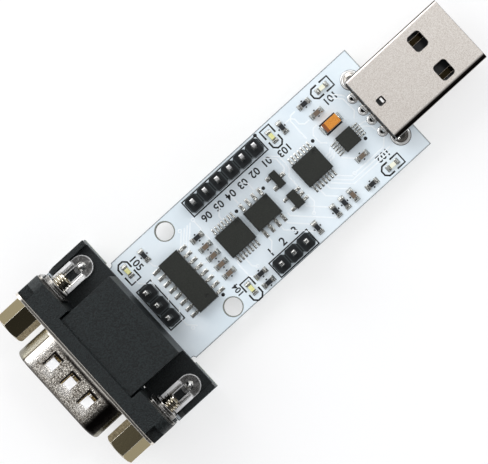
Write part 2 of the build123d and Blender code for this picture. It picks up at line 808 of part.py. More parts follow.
# Board locks: split prongs under the board, a shank, and a neck peened over the bracket's foot
with BuildPart() as board_lock:
    with BuildSketch(Plane.XZ):
        with BuildLine():
            Polyline(
                (0, foot_top_z + lock_dome_radius),
                (0, 0),
                (lock_tip_radius, 0),
                (lock_hook_radius, lock_hook_height),
                (lock_hook_radius, board_bottom),
                (lock_shank_radius, board_bottom),
                (lock_shank_radius, foot_bottom_z),
                (lock_neck_radius, foot_bottom_z),
                (lock_neck_radius, foot_top_z),
                (lock_dome_radius, foot_top_z),
            )
            RadiusArc((lock_dome_radius, foot_top_z), (0, foot_top_z + lock_dome_radius), -lock_dome_radius)
        make_face()
    revolve(axis=Axis.Z)
    with BuildSketch(Plane.XZ):
        with Locations((0, 0)):
            Rectangle(lock_slot, board_top, align=(Align.CENTER, Align.MIN))
    extrude(amount=lock_hook_radius, both=True, mode=Mode.SUBTRACT)
lock_locations = (Location((post_x, jack_y, 0)), Location((post_x, -jack_y, 0)))
save(place(board_lock.part, *lock_locations), "board_locks")

# Pin headers: strips of linked octagons and square pins with chamfered ends
with BuildSketch() as header_unit:
    Rectangle(header_pitch, header_pitch)
    chamfer(header_unit.vertices(), header_notch)
for label in header_places:
    pin_points = header_pin_points(label)
    with BuildPart() as header_strip:
        with BuildSketch(Plane.XY.offset(board_top)):
            with Locations(*pin_points):
                add(header_unit.sketch)
                Rectangle(header_pin_size, header_pin_size, mode=Mode.SUBTRACT)
        extrude(amount=header_height)
    save(header_strip.part, f"{label}_strip")
    with BuildPart() as header_pins:
        with BuildSketch():
            with Locations(*pin_points):
                Rectangle(header_pin_size, header_pin_size)
        extrude(amount=board_top + header_pin_height)
        tip_edges = header_pins.edges().group_by(Axis.Z)[-1]
        chamfer(tip_edges, header_pin_chamfer)
    save(header_pins.part, f"{label}_pins")


@dataclass
class Package:
    """A moulded package. Its length runs along its lead rows, and its leads bend down to the board."""

    length: float
    width: float
    height: float
    lift: float
    span: float
    lead_width: float
    lead_thickness: float
    rows: tuple


def package_body(package, dimple):
    """Moulded body that tapers up and down from its parting line, with a dimple at the first lead."""
    half_height = (package.height - package.lift) / 2
    with BuildPart() as body:
        with BuildSketch(Plane.XY.offset(package.lift + half_height)):
            Rectangle(package.length, package.width)
        extrude(amount=half_height, both=True, taper=mould_draft)
        if dimple:
            with Locations((dimple[0], dimple[1], package.height)):
                Hole(dimple_radius, dimple_depth)
    return body.part


def gull_wing_lead(package):
    """One lead on the +Y side: a shoulder at the parting line, a slanted shank and a flat foot."""
    shoulder_z = (package.height + package.lift) / 2
    thickness = package.lead_thickness
    start = package.width / 2
    foot_length = (package.span / 2 - start) * foot_share
    foot_start = package.span / 2 - foot_length
    with BuildPart() as lead:
        with BuildSketch(Plane.YZ):
            with BuildLine():
                FilletPolyline(
                    (start, shoulder_z),
                    (foot_start - shank_lean * (foot_start - start), shoulder_z),
                    (foot_start, thickness / 2),
                    (package.span / 2, thickness / 2),
                    radius=thickness,
                )
            trace(line_width=thickness)
        extrude(amount=package.lead_width / 2, both=True)
    return lead.part


def package_leads(package):
    """All the leads of one package, in two rows."""
    lead = gull_wing_lead(package)
    with BuildPart() as leads:
        for half_turn, row in zip((0, 180), package.rows):
            with Locations(*[Location((step, 0, 0), (0, 0, half_turn)) for step in row]):
                add(lead)
    return leads.part


wide_eight = even_row(8, wide_pitch)
wide_four = even_row(4, wide_pitch)
fine_seven = even_row(7, fine_pitch)
finest_five = even_row(5, finest_pitch)
outer_two = even_row(2, 2 * small_pitch)
small_three = even_row(3, small_pitch)
sixteen_lead = Package(9.9, 3.9, 1.6, 0.15, 6.0, 0.42, 0.2, (wide_eight, wide_eight))
eight_lead = Package(4.9, 3.9, 1.6, 0.15, 6.0, 0.42, 0.2, (wide_four, wide_four))
fourteen_lead = Package(5.0, 4.4, 1.1, 0.1, 6.4, 0.25, 0.14, (fine_seven, fine_seven))
ten_lead = Package(3.0, 3.0, 1.0, 0.1, 4.9, 0.22, 0.15, (finest_five, finest_five))
three_lead = Package(2.9, 1.3, 1.05, 0.05, 2.4, 0.4, 0.12, (outer_two, [0]))
five_lead = Package(2.9, 1.6, 1.15, 0.05, 2.8, 0.4, 0.14, (outer_two, small_three))

# Each package's distance from the plug end, Y and turn, and the place of its dimple before the turn
package_places = {
    "serial_driver": (sixteen_lead, (beside_driver, -0.35, 90), (-3.7, -0.65)),
    "bus_driver": (eight_lead, (beside_bus, -0.25, 0), (1.85, 1.4)),
    "left_buffer": (fourteen_lead, (beside_left, -0.25, 0), (1.75, 1.55)),
    "right_buffer": (fourteen_lead, (beside_right, -0.2, 0), (1.75, 1.55)),
    "usb_bridge": (ten_lead, (beside_bridge, -0.8, 90), None),
    "voltage_regulator": (three_lead, (middle_row["voltage_regulator"], 2.1, 90), None),
    "logic_gate": (five_lead, (middle_row["voltage_regulator"] - 0.05, -2.15, 90), None),
}
for label, (package, spot, dimple) in package_places.items():
    save(place(package_body(package, dimple), on_board(*spot)), f"{label}_body")
    save(place(package_leads(package), on_board(*spot)), f"{label}_leads")

# Tantalum capacitor: a moulded block and strips folded under its ends
tantalum_end = tantalum_length / 2 - tantalum_terminal_thickness
with BuildPart() as tantalum_terminals:
    for side in (1, -1):
        with BuildSketch(Plane.XZ):
            with BuildLine():
                Polyline(
                    (side * (tantalum_length / 2 - tantalum_terminal_fold), tantalum_terminal_thickness / 2),
                    (side * (tantalum_length - tantalum_terminal_thickness) / 2, tantalum_terminal_thickness / 2),
                    (side * (tantalum_length - tantalum_terminal_thickness) / 2, tantalum_height / 2),
                )
            trace(line_width=tantalum_terminal_thickness)
        extrude(amount=tantalum_terminal_width / 2, both=True)
with BuildPart() as tantalum_body:
    with BuildSketch(Plane.XY.offset((tantalum_height + tantalum_lift) / 2)):
        Rectangle(2 * tantalum_end, tantalum_width)
    extrude(amount=(tantalum_height - tantalum_lift) / 2, both=True, taper=tantalum_draft)
    add(tantalum_terminals.part, mode=Mode.SUBTRACT)
save(place(tantalum_body.part, on_board(*tantalum_place)), "tantalum_body")
save(place(tantalum_terminals.part, on_board(*tantalum_place)), "tantalum_terminals")


def chip(height):
    """Body of a chip part and the two metal caps over its ends."""
    with BuildPart() as body:
        with BuildSketch(Plane.XY.offset(cap_wall)):
            Rectangle(chip_length - 2 * cap_wall, chip_width - 2 * cap_wall)
        extrude(amount=height - 2 * cap_wall)
    with BuildPart() as caps:
        with BuildSketch():
            with GridLocations(chip_length - cap_length, chip_length, 2, 1):
                Rectangle(cap_length, chip_width)
        extrude(amount=height)
        add(body.part, mode=Mode.SUBTRACT)
    return body.part, caps.part


# Chip resistors and capacitors, one group for each kind of piece
for kind, height, spots in (
    ("resistor", resistor_height, resistor_places),
    ("capacitor", capacitor_height, capacitor_places),
):
    chip_body, chip_caps = chip(height)
    chip_locations = [on_board(*spot) for spot in spots]
    save(place(chip_body, *chip_locations), f"{kind}_bodies")
    save(place(chip_caps, *chip_locations), f"{kind}_caps")

# Chip LEDs: a base plate with end caps and a clear block on it
led_base, led_caps = chip(led_base_height)
with BuildPart() as led_lens:
    with BuildSketch(Plane.XY.offset(led_base_height - cap_wall)):
        Rectangle(chip_length - 2 * cap_length, chip_width - 2 * cap_wall)
    extrude(amount=led_height - led_base_height + cap_wall, taper=led_lens_draft)
for label, spot in led_places.items():
    save(place(led_base, on_board(*spot)), f"{label}_base")
    save(place(led_lens.part, on_board(*spot)), f"{label}_lens")
save(place(led_caps, *[on_board(*spot) for spot in led_places.values()]), "led_caps")
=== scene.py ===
# %% [markdown]
# # A USB to serial adapter module, finished for a studio picture
#
# The solid model already gives every connector, package, pin and bracket at its real size. What is left is
# what a manufacturer does to those shapes: white solder mask over copper tracks, black printing, tin and
# nickel plating, solder, threads, moulding texture. The solid model is loaded first and stays where it is.

import math

import bmesh
import bpy
from mathutils import Matrix, Vector


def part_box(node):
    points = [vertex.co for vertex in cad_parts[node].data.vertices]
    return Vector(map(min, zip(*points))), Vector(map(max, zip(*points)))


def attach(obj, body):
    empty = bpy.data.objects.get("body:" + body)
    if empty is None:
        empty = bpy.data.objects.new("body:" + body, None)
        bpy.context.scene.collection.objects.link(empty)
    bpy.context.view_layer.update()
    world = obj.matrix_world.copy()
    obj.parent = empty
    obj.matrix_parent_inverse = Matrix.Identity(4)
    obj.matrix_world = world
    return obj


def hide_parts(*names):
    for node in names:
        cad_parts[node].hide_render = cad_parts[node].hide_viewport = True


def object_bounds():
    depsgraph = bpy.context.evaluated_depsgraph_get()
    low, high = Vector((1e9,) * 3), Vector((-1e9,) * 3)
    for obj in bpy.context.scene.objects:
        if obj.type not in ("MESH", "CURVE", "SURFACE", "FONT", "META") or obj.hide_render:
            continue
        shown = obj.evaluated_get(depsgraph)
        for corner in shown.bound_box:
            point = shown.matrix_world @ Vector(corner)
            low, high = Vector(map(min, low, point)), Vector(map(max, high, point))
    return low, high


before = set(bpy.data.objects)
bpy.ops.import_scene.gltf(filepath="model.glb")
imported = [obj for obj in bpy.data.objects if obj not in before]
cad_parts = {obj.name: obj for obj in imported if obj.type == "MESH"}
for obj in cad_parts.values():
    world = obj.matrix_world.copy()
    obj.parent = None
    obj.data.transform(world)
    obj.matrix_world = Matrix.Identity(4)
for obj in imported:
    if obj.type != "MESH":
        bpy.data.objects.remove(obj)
cad_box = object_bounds()
low_corner, high_corner = ([round(v * 1000, 2) for v in corner] for corner in cad_box)
print("solid model from", low_corner, "to", high_corner, "mm")

# %% [markdown]
# ## Places that the rest is worked out from
#
# Everything on the board is measured from the edge under the USB plug, as a board designer would, and the
# boxes of the loaded pieces give that edge and the board's top and bottom.

# %% Board edges and heights
mm = 0.001
board_low, board_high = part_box("circuit_board")
board_edge = board_high[0]
board_top = board_high[2]
board_bottom = board_low[2]


def spot(distance, y, height=0.0):
    """Point on the board: mm behind the plug's edge, mm across, mm above the top."""
    return Vector((board_edge - distance * mm, y * mm, board_top + height * mm))


print("board top at", round(board_top / mm, 2), "mm, plug's edge at", round(board_edge / mm, 3), "mm")

# %% [markdown]
# ## Camera
#
# The picture was taken from almost straight above with a long lens, so the adapter lies across the frame on
# a diagonal and its tall connector leans only a little. A camera can be aimed by eye, but a place and a turn
# that were fitted to the corners of the real parts put all of them where the picture has them.

# %% Camera above the board
camera_place = Vector((-4.438, -12.743, 294.092)) * mm
camera_turns = (("Z", -42.38), ("Y", 1.56), ("X", 1.84))
camera_lens = 137.02
camera_sensor = 36.0

camera_data = bpy.data.cameras.new("studio_camera")
camera_data.lens = camera_lens
camera_data.sensor_width = camera_sensor
camera_data.sensor_fit = "HORIZONTAL"
camera_data.clip_start = 0.01
camera = bpy.data.objects.new("studio_camera", camera_data)
bpy.context.scene.collection.objects.link(camera)
camera_turn = Matrix.Identity(4)
for axis, degrees in camera_turns:
    camera_turn = camera_turn @ Matrix.Rotation(math.radians(degrees), 4, axis)
camera.matrix_world = Matrix.Translation(camera_place) @ camera_turn
bpy.context.scene.camera = camera
print("camera", round(camera_place.z / mm), "mm above the floor")

# %% [markdown]
# ## Colours and nodes
#
# Colours are written as the sRGB hex values that a paint chart would give, and one function turns them into
# the linear light that shaders work in. One more function adds a shader node with its settings and links.

# %% Colours, nodes and new materials


def linear(hex_colour):
    """Linear RGBA of an sRGB hex colour."""
    channels = [int(hex_colour[i : i + 2], 16) / 255 for i in (1, 3, 5)]
    return [c / 12.92 if c <= 0.04045 else ((c + 0.055) / 1.055) ** 2.4 for c in channels] + [1.0]


def add_node(material, kind, inputs=None, **settings):
    """Add one shader node, set its properties, and set or link its sockets."""
    tree = material.node_tree
    made = tree.nodes.new(kind)
    for name, value in settings.items():
        setattr(made, name, value)
    for name, value in (inputs or {}).items():
        socket = made.inputs[name]
        if isinstance(value, bpy.types.NodeSocket):
            tree.links.new(value, socket)
        else:
            socket.default_value = value
    return made


def surface_of(material):
    """The principled node that every material here starts from."""
    return material.node_tree.nodes["Principled BSDF"]


def new_material(name, colour, roughness, metallic=0.0, **sockets):
    """A material with one principled surface."""
    material = bpy.data.materials.new(name)
    material.use_nodes = True
    surface = surface_of(material)
    surface.inputs["Base Color"].default_value = linear(colour)
    surface.inputs["Roughness"].default_value = roughness
    surface.inputs["Metallic"].default_value = metallic
    for socket, value in sockets.items():
        surface.inputs[socket.replace("_", " ")].default_value = value
    return material


def paint(material, source, socket="Base Color"):
    """Feed a socket of the material's surface."""
    material.node_tree.links.new(source, surface_of(material).inputs[socket])


def finish_nodes(material, *names):
    """Give loaded pieces this finish."""
    for name in names:
        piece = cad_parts[name]
        piece.data.materials.clear()
        piece.data.materials.append(material)
    print(material.name, "on", ", ".join(names))


print("a printed grey of #808080 is", round(linear("#808080")[0], 3), "in linear light")

# %% [markdown]
# ## Grain
#
# Rolled, plated, moulded and printed surfaces all carry a fine grain. A noise in the piece's own coordinates
# has a size in millimetres. The same noise raises the bumps and moves the colour, so both belong together.

# %% Grain with a real size


def grain(material, size_mm, detail=2.0, stretch=(1, 1, 1)):
    """Noise with a real size in mm, in the piece's own coordinates."""
    place = add_node(material, "ShaderNodeTexCoord")
    scales = {"Vector": place.outputs["Object"], "Scale": [s / (size_mm * mm) for s in stretch]}
    scaled = add_node(material, "ShaderNodeMapping", scales)
    noise = {"Vector": scaled.outputs["Vector"], "Scale": 1.0, "Detail": detail}
    return add_node(material, "ShaderNodeTexNoise", noise).outputs["Fac"]


def roughen(material, texture, depth_mm, edge_mm=0.0):
    """Turn a texture into small bumps of this depth, and let edges look broken by this radius."""
    height = {"Height": texture, "Distance": depth_mm * mm, "Strength": 1.0}
    bump = add_node(material, "ShaderNodeBump", height)
    if edge_mm:
        rounded = add_node(material, "ShaderNodeBevel", {"Radius": edge_mm * mm}, samples=4)
        material.node_tree.links.new(rounded.outputs["Normal"], bump.inputs["Normal"])
    paint(material, bump.outputs["Normal"], "Normal")
    return bump


def shift_colour(material, texture, low, high, start=0.3, end=0.7):
    """Let a texture move the colour between two hex values. Returns the moving colour."""
    ramp = add_node(material, "ShaderNodeValToRGB", {"Fac": texture})
    for stop, colour, position in zip(ramp.color_ramp.elements, (low, high), (start, end)):
        stop.color = linear(colour)
        stop.position = position
    paint(material, ramp.outputs["Color"])
    return ramp.outputs["Color"]


# %% [markdown]
# ## Zones
#
# One piece often shows several finishes: a bright rim, a dark side, a fold in shade. Each is a zone, a factor
# that goes from 0 to 1 between two places in millimetres, beside a sharp edge, or on faces that look up. A
# product of factors narrows a zone, and each zone lays its colour over what is below, as a stencil does.

# %% Factors and layers of colour


def along(material, axis, start_mm, end_mm, middle=None):
    """Factor from 0 to 1 between two places on an axis, in mm, or between two distances from a middle."""
    place = add_node(material, "ShaderNodeTexCoord")
    axes = add_node(material, "ShaderNodeSeparateXYZ", {"Vector": place.outputs["Object"]})
    value = axes.outputs[axis]
    if middle is not None:
        off = add_node(material, "ShaderNodeMath", {0: value, 1: middle * mm}, operation="SUBTRACT")
        value = add_node(material, "ShaderNodeMath", {0: off.outputs[0]}, operation="ABSOLUTE").outputs[0]
    limits = {"Value": value, 1: start_mm * mm, 2: end_mm * mm}
    return add_node(material, "ShaderNodeMapRange", limits).outputs[0]


def near_edges(material, radius_mm):
    """Factor that is 0 on open faces and 1 beside sharp edges, within this distance."""
    rounded = add_node(material, "ShaderNodeBevel", {"Radius": radius_mm * mm}, samples=6)
    true = add_node(material, "ShaderNodeNewGeometry")
    normals = {0: rounded.outputs["Normal"], 1: true.outputs["Normal"]}
    between = add_node(material, "ShaderNodeVectorMath", normals, operation="DOT_PRODUCT")
    limits = {"Value": between.outputs["Value"], 1: 0.995, 2: 0.93}
    return add_node(material, "ShaderNodeMapRange", limits).outputs[0]


def facing_up(material):
    """Factor that is 1 on faces that look up and 0 on walls and undersides."""
    surface = add_node(material, "ShaderNodeNewGeometry")
    axes = add_node(material, "ShaderNodeSeparateXYZ", {"Vector": surface.outputs["Normal"]})
    return add_node(material, "ShaderNodeMapRange", {"Value": axes.outputs["Z"], 1: 0.15, 2: 0.5}).outputs[0]


def zone(material, *parts):
    """Product of factors. A part is a factor, or a tuple with what along needs."""
    factors = [along(material, *part) if isinstance(part, tuple) else part for part in parts]
    product = factors[0]
    for factor in factors[1:]:
        narrowed = add_node(material, "ShaderNodeMath", {0: product, 1: factor}, operation="MULTIPLY")
        product = narrowed.outputs[0]
    return product


def layered(material, tone, *layers):
    """Colour of a tone under (factor, colour) layers. Each colour is a hex value or a socket."""
    for factor, colour in layers:
        mixed = add_node(material, "ShaderNodeMix", {"Factor": factor}, data_type="RGBA")
        for socket, source in ((mixed.inputs[6], tone), (mixed.inputs[7], colour)):
            if isinstance(source, str):
                socket.default_value = linear(source)
            else:
                material.node_tree.links.new(source, socket)
        tone = mixed.outputs[2]
    return tone


def vary(material, socket, factor, low, high):
    """Let a factor move a number of the surface from low to high."""
    number = add_node(material, "ShaderNodeMapRange", {"Value": factor, 3: low, 4: high})
    paint(material, number.outputs[0], socket)


# %% [markdown]
# ## White solder mask on glass-fibre laminate
#
# The board is woven glass in epoxy. Both faces are covered with a white photo-imaged ink, glossy and a
# little bluish, which levels out with a faint orange-peel ripple. The cut edges show the bare laminate,
# greener and duller, in thin layers. The edge's faces could be picked for a second material. One material
# that tells the edge from the faces by height needs no picking, and it can fade from one to the other.

# %% Board material
mask_colour = "#edf6fb"
mask_shade = "#e2eef5"
laminate_colour = "#ced2be"
laminate_shade = "#a9ad94"
# painted shade: the line where the mask stops short of the edge is much darker than bare laminate and stands
# for the shade of the cut sides
painted_edge_shade = "#3c4442"  # bare laminate where the mask stops short of the edge
mask_film = 0.04  # mm of ink on each face
ripple_size = 0.9  # mm between the ripples of the levelled ink

board_material = new_material("white_solder_mask", mask_colour, 0.34, Specular_IOR_Level=0.5)
roughen(board_material, grain(board_material, ripple_size), 0.004)
mottle = grain(board_material, 5.0, detail=3.0)
mask_tone = shift_colour(board_material, mottle, mask_shade, mask_colour)
# painted shade beside the board's sharp edges
mask_tone = layered(board_material, mask_tone, (near_edges(board_material, 0.36), painted_edge_shade))
glass_layers = grain(board_material, 0.18, detail=0.0, stretch=(0.02, 0.02, 1))
laminate_tone = layered(board_material, laminate_colour, (glass_layers, laminate_shade))
board_half = (board_top - board_bottom) / 2 / mm
board_middle = (board_top + board_bottom) / 2 / mm
on_faces = along(board_material, "Z", board_half - mask_film, board_half - mask_film / 2, board_middle)
paint(board_material, layered(board_material, laminate_tone, (on_faces, mask_tone)))
finish_nodes(board_material, "circuit_board")

# %% [markdown]
# ## Satin nickel on the plug
#
# The plug's shell is sheet steel, rolled and plated with nickel. The rolling leaves a grain of about 0.14
# mm, which makes the flat faces satin and a little warm. Its edges and bent long sides get painted dark
# reflections, and the latch pressed into its top gets a painted shadow at its hinge and a painted highlight
# on its tongue. Dark cards beside it could draw those lines, but they would dull the white board too, so the
# lines are painted as zones of the material.

# %% Plug shell
plug_nickel = new_material("satin_nickel_plate", "#e8e0d7", 0.5, 1.0)
rolled_grain = grain(plug_nickel, 0.14)
roughen(plug_nickel, rolled_grain, 0.01, edge_mm=0.05)
plug_tone = shift_colour(plug_nickel, rolled_grain, "#dcd3c9", "#fffaf4")
plug_low, plug_high = (Vector(corner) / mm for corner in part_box("usb_shell"))
plug_middle = (plug_low.z + plug_high.z) / 2
plug_half_height = (plug_high.z - plug_low.z) / 2
flat_sheet = along(plug_nickel, "Z", plug_half_height - 0.05, plug_half_height - 0.01, plug_middle)
vary(plug_nickel, "Roughness", flat_sheet, 0.1, 0.5)

# %% Painted shade and highlight on the plug's edges and latch
latch_hinge = board_edge / mm - 1.1
side_wall = along(plug_nickel, "Y", plug_high.y - 0.01, plug_high.y - 0.05, 0)
tongue_highlight = zone(plug_nickel, ("Y", 0.4, 0.3, 0), ("X", 0.2, 0.14, latch_hinge - 0.42))
near_bend_shade = zone(plug_nickel, side_wall, ("Y", plug_high.y - 0.28, plug_high.y - 0.18))
far_bend_shade = zone(plug_nickel, side_wall, ("Y", plug_low.y + 0.95, plug_low.y + 0.6))
hinge_shadow = zone(plug_nickel, ("Y", 0.56, 0.52, 0), ("X", 0.16, 0.1, latch_hinge - 0.08))
# painted dark reflections on the edges and bends, a painted shadow at the hinge, and a painted highlight on
# the tongue, which is made nearly matt
plug_layers = (
    (near_edges(plug_nickel, 0.12), "#37322e"),
    (near_bend_shade, "#4a4541"),
    (far_bend_shade, "#1a1715"),
    (hinge_shadow, "#1f1b18"),
    (tongue_highlight, "#ffffff"),
)
paint(plug_nickel, layered(plug_nickel, plug_tone, *plug_layers))
vary(plug_nickel, "Metallic", tongue_highlight, 1.0, 0.2)
finish_nodes(plug_nickel, "usb_shell")

# %% [markdown]
# ## Nickel on the drawn nose and its plate
#
# The serial connector's face is one steel sheet, pressed deep into a nose and plated with nickel. The draw
# stretches the nose's grain to a glittering speckle, while the plate stays smooth. Modelled dents of a tenth
# of a millimetre would take millions of faces, so a bump gives them. It is on the nose alone, and the place
# along X tells it from the plate.

# %% Drawn grain of the nose
nose_length = 6.1
nose_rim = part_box("serial_front_shell")[0][0] / mm
plate_front = nose_rim + nose_length
screws_low, screws_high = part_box("jack_screws")
nose_axis = (screws_low[2] + screws_high[2]) / 2 / mm
nose_nickel = new_material("drawn_nickel_plate", "#d6cfc4", 0.2, 1.0)
nose_bumps = roughen(nose_nickel, grain(nose_nickel, 0.11, detail=0.0), 0.045)
nose_speckle = grain(nose_nickel, 0.2, detail=4.0)
# painted glitter: the colour speckle from dark grey to white stands for reflections in the drawn grain
nose_tone = shift_colour(nose_nickel, nose_speckle, "#83796c", "#fff9ee", 0.38, 0.6)
on_plate = along(nose_nickel, "X", plate_front - 0.6, plate_front - 0.2)
on_nose = along(nose_nickel, "X", plate_front - 0.2, plate_front - 0.6)
nose_nickel.node_tree.links.new(on_nose, nose_bumps.inputs["Strength"])
print("nose from", round(nose_rim, 2), "to", round(plate_front, 2), "mm, axis at", round(nose_axis, 2), "mm")

# %% [markdown]
# ## Light and dark on the nose
#
# A mirror-like part shows its studio, and here the studio is painted into the colour as zones. The end of the
# nose near the long lamp gets a painted white reflection and the far end a painted black one, the root and
# the rim get painted shade, the sides painted grey reflections, and the slots beside and behind each lance
# painted shadow, with a painted highlight in front of it, while its pressed face is the brightest painted
# highlight.
# Each could be lit with a lamp or a card of its own. Zones do it without touching any other part, and they
# are laid on from the widest to the smallest.

# %% Painted reflections and shade on the nose
lance_middle = plate_front - 2.9
lance_pitch = 3.87
lance_highlight = zone(
    nose_nickel,
    ("Y", 4.8, 4.7, 0),
    ("X", 1.3, 1.2, lance_middle),
    ("Z", nose_axis + 4.56, nose_axis + 4.5),
    ("Z", nose_axis + 3.5, nose_axis + 3.6),
)
nose_top = zone(nose_nickel, facing_up(nose_nickel), on_nose)
upper_half = zone(nose_nickel, on_nose, ("Z", nose_axis, nose_axis + 1.0))
nose_zones = [
    # painted reflections: white at the end near the lamp, black at the end away from it
    ((nose_top, ("Y", 5.4, 6.2)), "#fbf7f0"),
    ((nose_top, ("Y", -5.0, -6.6)), "#1f1c1a"),
    # painted shade at the root by the plate and at the rim at the front
    ((nose_top, ("X", plate_front - 1.1, plate_front - 0.7), ("Y", 6.0, 3.0)), "#2b2825"),
    ((nose_top, ("X", nose_rim + 0.7, nose_rim + 0.1)), "#35322f"),
    # painted reflections on both sides, and a painted dark line where the near one begins
    ((upper_half, ("Y", 7.2, 7.35)), "#8d897c"),
    ((upper_half, ("Y", -8.2, -8.4)), "#8d897c"),
    ((upper_half, ("Y", 0.22, 0.05, 7.3)), "#4a443b"),
]
for lance_y in (-lance_pitch, 0.0, lance_pitch):
    nose_zones += [
        # a painted highlight in front of the lance, then painted shadow beside and behind it, at its slots
        ((nose_top, ("X", 1.1, 0.4, lance_middle - 1.3), ("Y", 1.3, 0.6, lance_y - 0.3)), "#fffaf2"),
        ((nose_top, ("X", 1.4, 1.25, lance_middle + 0.1), ("Y", 0.22, 0.12, lance_y + 0.95)), "#26221e"),
        ((nose_top, ("X", 0.36, 0.24, lance_middle + 1.3), ("Y", 1.1, 0.95, lance_y + 0.1)), "#1b1815"),
    ]
nose_layers = [(zone(nose_nickel, *parts), tone) for parts, tone in nose_zones]
nose_tone = layered(nose_nickel, nose_tone, (on_plate, "#e4ded4"), *nose_layers, (lance_highlight, "#ffffff"))
paint(nose_nickel, nose_tone)
# The pressed lance faces and the plate's sheared edge are made nearly matt so they read white; on the lances
# this is a painted highlight.
sheared_edge = zone(nose_nickel, near_edges(nose_nickel, 0.18), on_plate)
bright_spots = add_node(nose_nickel, "ShaderNodeMath", {0: lance_highlight, 1: sheared_edge}, operation="MAXIMUM")
vary(nose_nickel, "Metallic", bright_spots.outputs[0], 1.0, 0.25)
finish_nodes(nose_nickel, "serial_front_shell")

# %% [markdown]
# ## Tin on brackets, pins and board locks
#
# The brackets are dipped in molten tin, which runs out to a mirror with waves about a millimetre wide.
# Their standing leg gets a painted dark reflection of the plate, and every fold and edge a painted white
# highlight. The pins are plated with a duller tin, whose tops are painted white as a highlight and whose
# sides are painted darker as shade. The waves could be modelled, but as bumps they leave the loaded shape as
# it is.

# %% Tinned parts
bright_tin = new_material("bright_tin_plate", "#e9e9e6", 0.18, 1.0)
roughen(bright_tin, grain(bright_tin, 0.6), 0.05, edge_mm=0.08)
finish_nodes(bright_tin, "board_locks", "side_header_pins", "cross_header_pins")

pin_tin = new_material("satin_tin_plate", "#f0f0ee", 0.34, 1.0)
roughen(pin_tin, grain(pin_tin, 0.25), 0.02, edge_mm=0.05)
# painted light: tops painted white as a highlight, sides painted darker as shade
paint(pin_tin, layered(pin_tin, "#8f8a82", (facing_up(pin_tin), "#ffffff")))
finish_nodes(pin_tin, "long_header_pins")

# %% Dipped brackets
bracket_tin = new_material("hot_dipped_tin", "#f4f4f2", 0.14, 0.85)
roughen(bracket_tin, grain(bracket_tin, 0.9, detail=1.0), 0.1, edge_mm=0.12)
bracket_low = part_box("serial_bracket_left")[0]
leg_x, foot_bottom = bracket_low[0] / mm, bracket_low[2] / mm
# painted highlights on the fold tops and edges, made matt white, and a painted dark reflection of the plate
# on the standing leg
fold_top_highlight = zone(bracket_tin, ("Z", foot_bottom + 0.6, foot_bottom + 0.8), ("X", leg_x + 1.0, leg_x + 1.1))
leg_part = along(bracket_tin, "X", leg_x + 1.1, leg_x + 0.9)
less_on_leg = add_node(bracket_tin, "ShaderNodeMapRange", {"Value": leg_part, 3: 1.0, 4: 0.3}).outputs[0]
bracket_edge_highlight = zone(bracket_tin, near_edges(bracket_tin, 0.34), less_on_leg)
bracket_layers = ((fold_top_highlight, "#ffffff"), (leg_part, "#7d7a74"), (bracket_edge_highlight, "#ffffff"))
paint(bracket_tin, layered(bracket_tin, "#dddbd7", *bracket_layers))
highlighted_parts = add_node(bracket_tin, "ShaderNodeMath", {0: fold_top_highlight, 1: bracket_edge_highlight}, operation="MAXIMUM")
vary(bracket_tin, "Metallic", highlighted_parts.outputs[0], 0.95, 0.0)
finish_nodes(bracket_tin, "serial_bracket_left", "serial_bracket_right")

# %% [markdown]
# ## Nickel on brass and a flash of gold
#
# The jack screws are turned from brass, and their thin nickel lets some of its yellow through. The serial
# pins and the plug's contacts carry a flash of gold, and the contacts' tails behind the plug are tinned. A
# plate could be a coat over another metal, but a single tinted metal looks the same and is easier to match.

# %% Jack screws, pins and contacts
jack_nickel = new_material("nickel_on_brass", "#a3987a", 0.14, 1.0)
roughen(jack_nickel, grain(jack_nickel, 0.3), 0.003)
# painted highlights: the edges are painted near-white
paint(jack_nickel, layered(jack_nickel, "#958a6c", (near_edges(jack_nickel, 0.16), "#fffaf0")))
finish_nodes(jack_nickel, "jack_screws")

gold_flash = new_material("gold_flash", "#d6c59c", 0.2, 1.0)
roughen(gold_flash, grain(gold_flash, 0.3), 0.002)
finish_nodes(gold_flash, "serial_pins")

contact_metal = new_material("tinned_and_gold_flashed", "#d6c59c", 0.12, 1.0)
roughen(contact_metal, grain(contact_metal, 0.3), 0.002)
contact_edges = near_edges(contact_metal, 0.12)
gold_part = along(contact_metal, "X", board_edge / mm - 2.2, board_edge / mm - 1.8)
gold_edge_highlights = zone(contact_metal, contact_edges, gold_part)
# the gold part is painted dark as a reflection, with painted highlights on its edges, which are made nearly
# matt
paint(contact_metal, layered(contact_metal, "#dededb", (gold_part, "#6b5b3d"), (gold_edge_highlights, "#fff2e2")))
vary(contact_metal, "Metallic", contact_edges, 1.0, 0.2)
finish_nodes(contact_metal, "usb_contacts")

# %% [markdown]
# ## Solder
#
# Solder freezes with a faint crystal grain. On the leads and the chips' ends it is a thin, dull film. Where
# it climbs a tail it is a mirror, painted pale on its crest as a highlight, with a dark line painted at its
# foot as shade. That line could be left to the mirrored board, but it is thinner than a pixel there, so
# height gives it a band of its own.

# %% Solder on leads and tails
solder_tin = new_material("tin_solder", "#cfcfca", 0.22, 0.9)
roughen(solder_tin, grain(solder_tin, 0.3), 0.04, edge_mm=0.05)
lead_nodes = [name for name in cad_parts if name.endswith(("_leads", "_caps"))]
finish_nodes(solder_tin, "tantalum_terminals", *lead_nodes)

wetted_solder = new_material("wetted_solder", "#dcdcd9", 0.12, 1.0)
roughen(wetted_solder, grain(wetted_solder, 0.8, detail=1.0), 0.03)
solder_crest_highlight = along(wetted_solder, "Z", board_top / mm + 0.04, board_top / mm + 0.07)
solder_foot_shade = along(wetted_solder, "Z", 0.05, 0.03, board_top / mm)
paint(wetted_solder, layered(wetted_solder, "#dcdcd9", (solder_crest_highlight, "#f6f6f4"), (solder_foot_shade, "#343331")))
vary(wetted_solder, "Metallic", solder_crest_highlight, 1.0, 0.45)

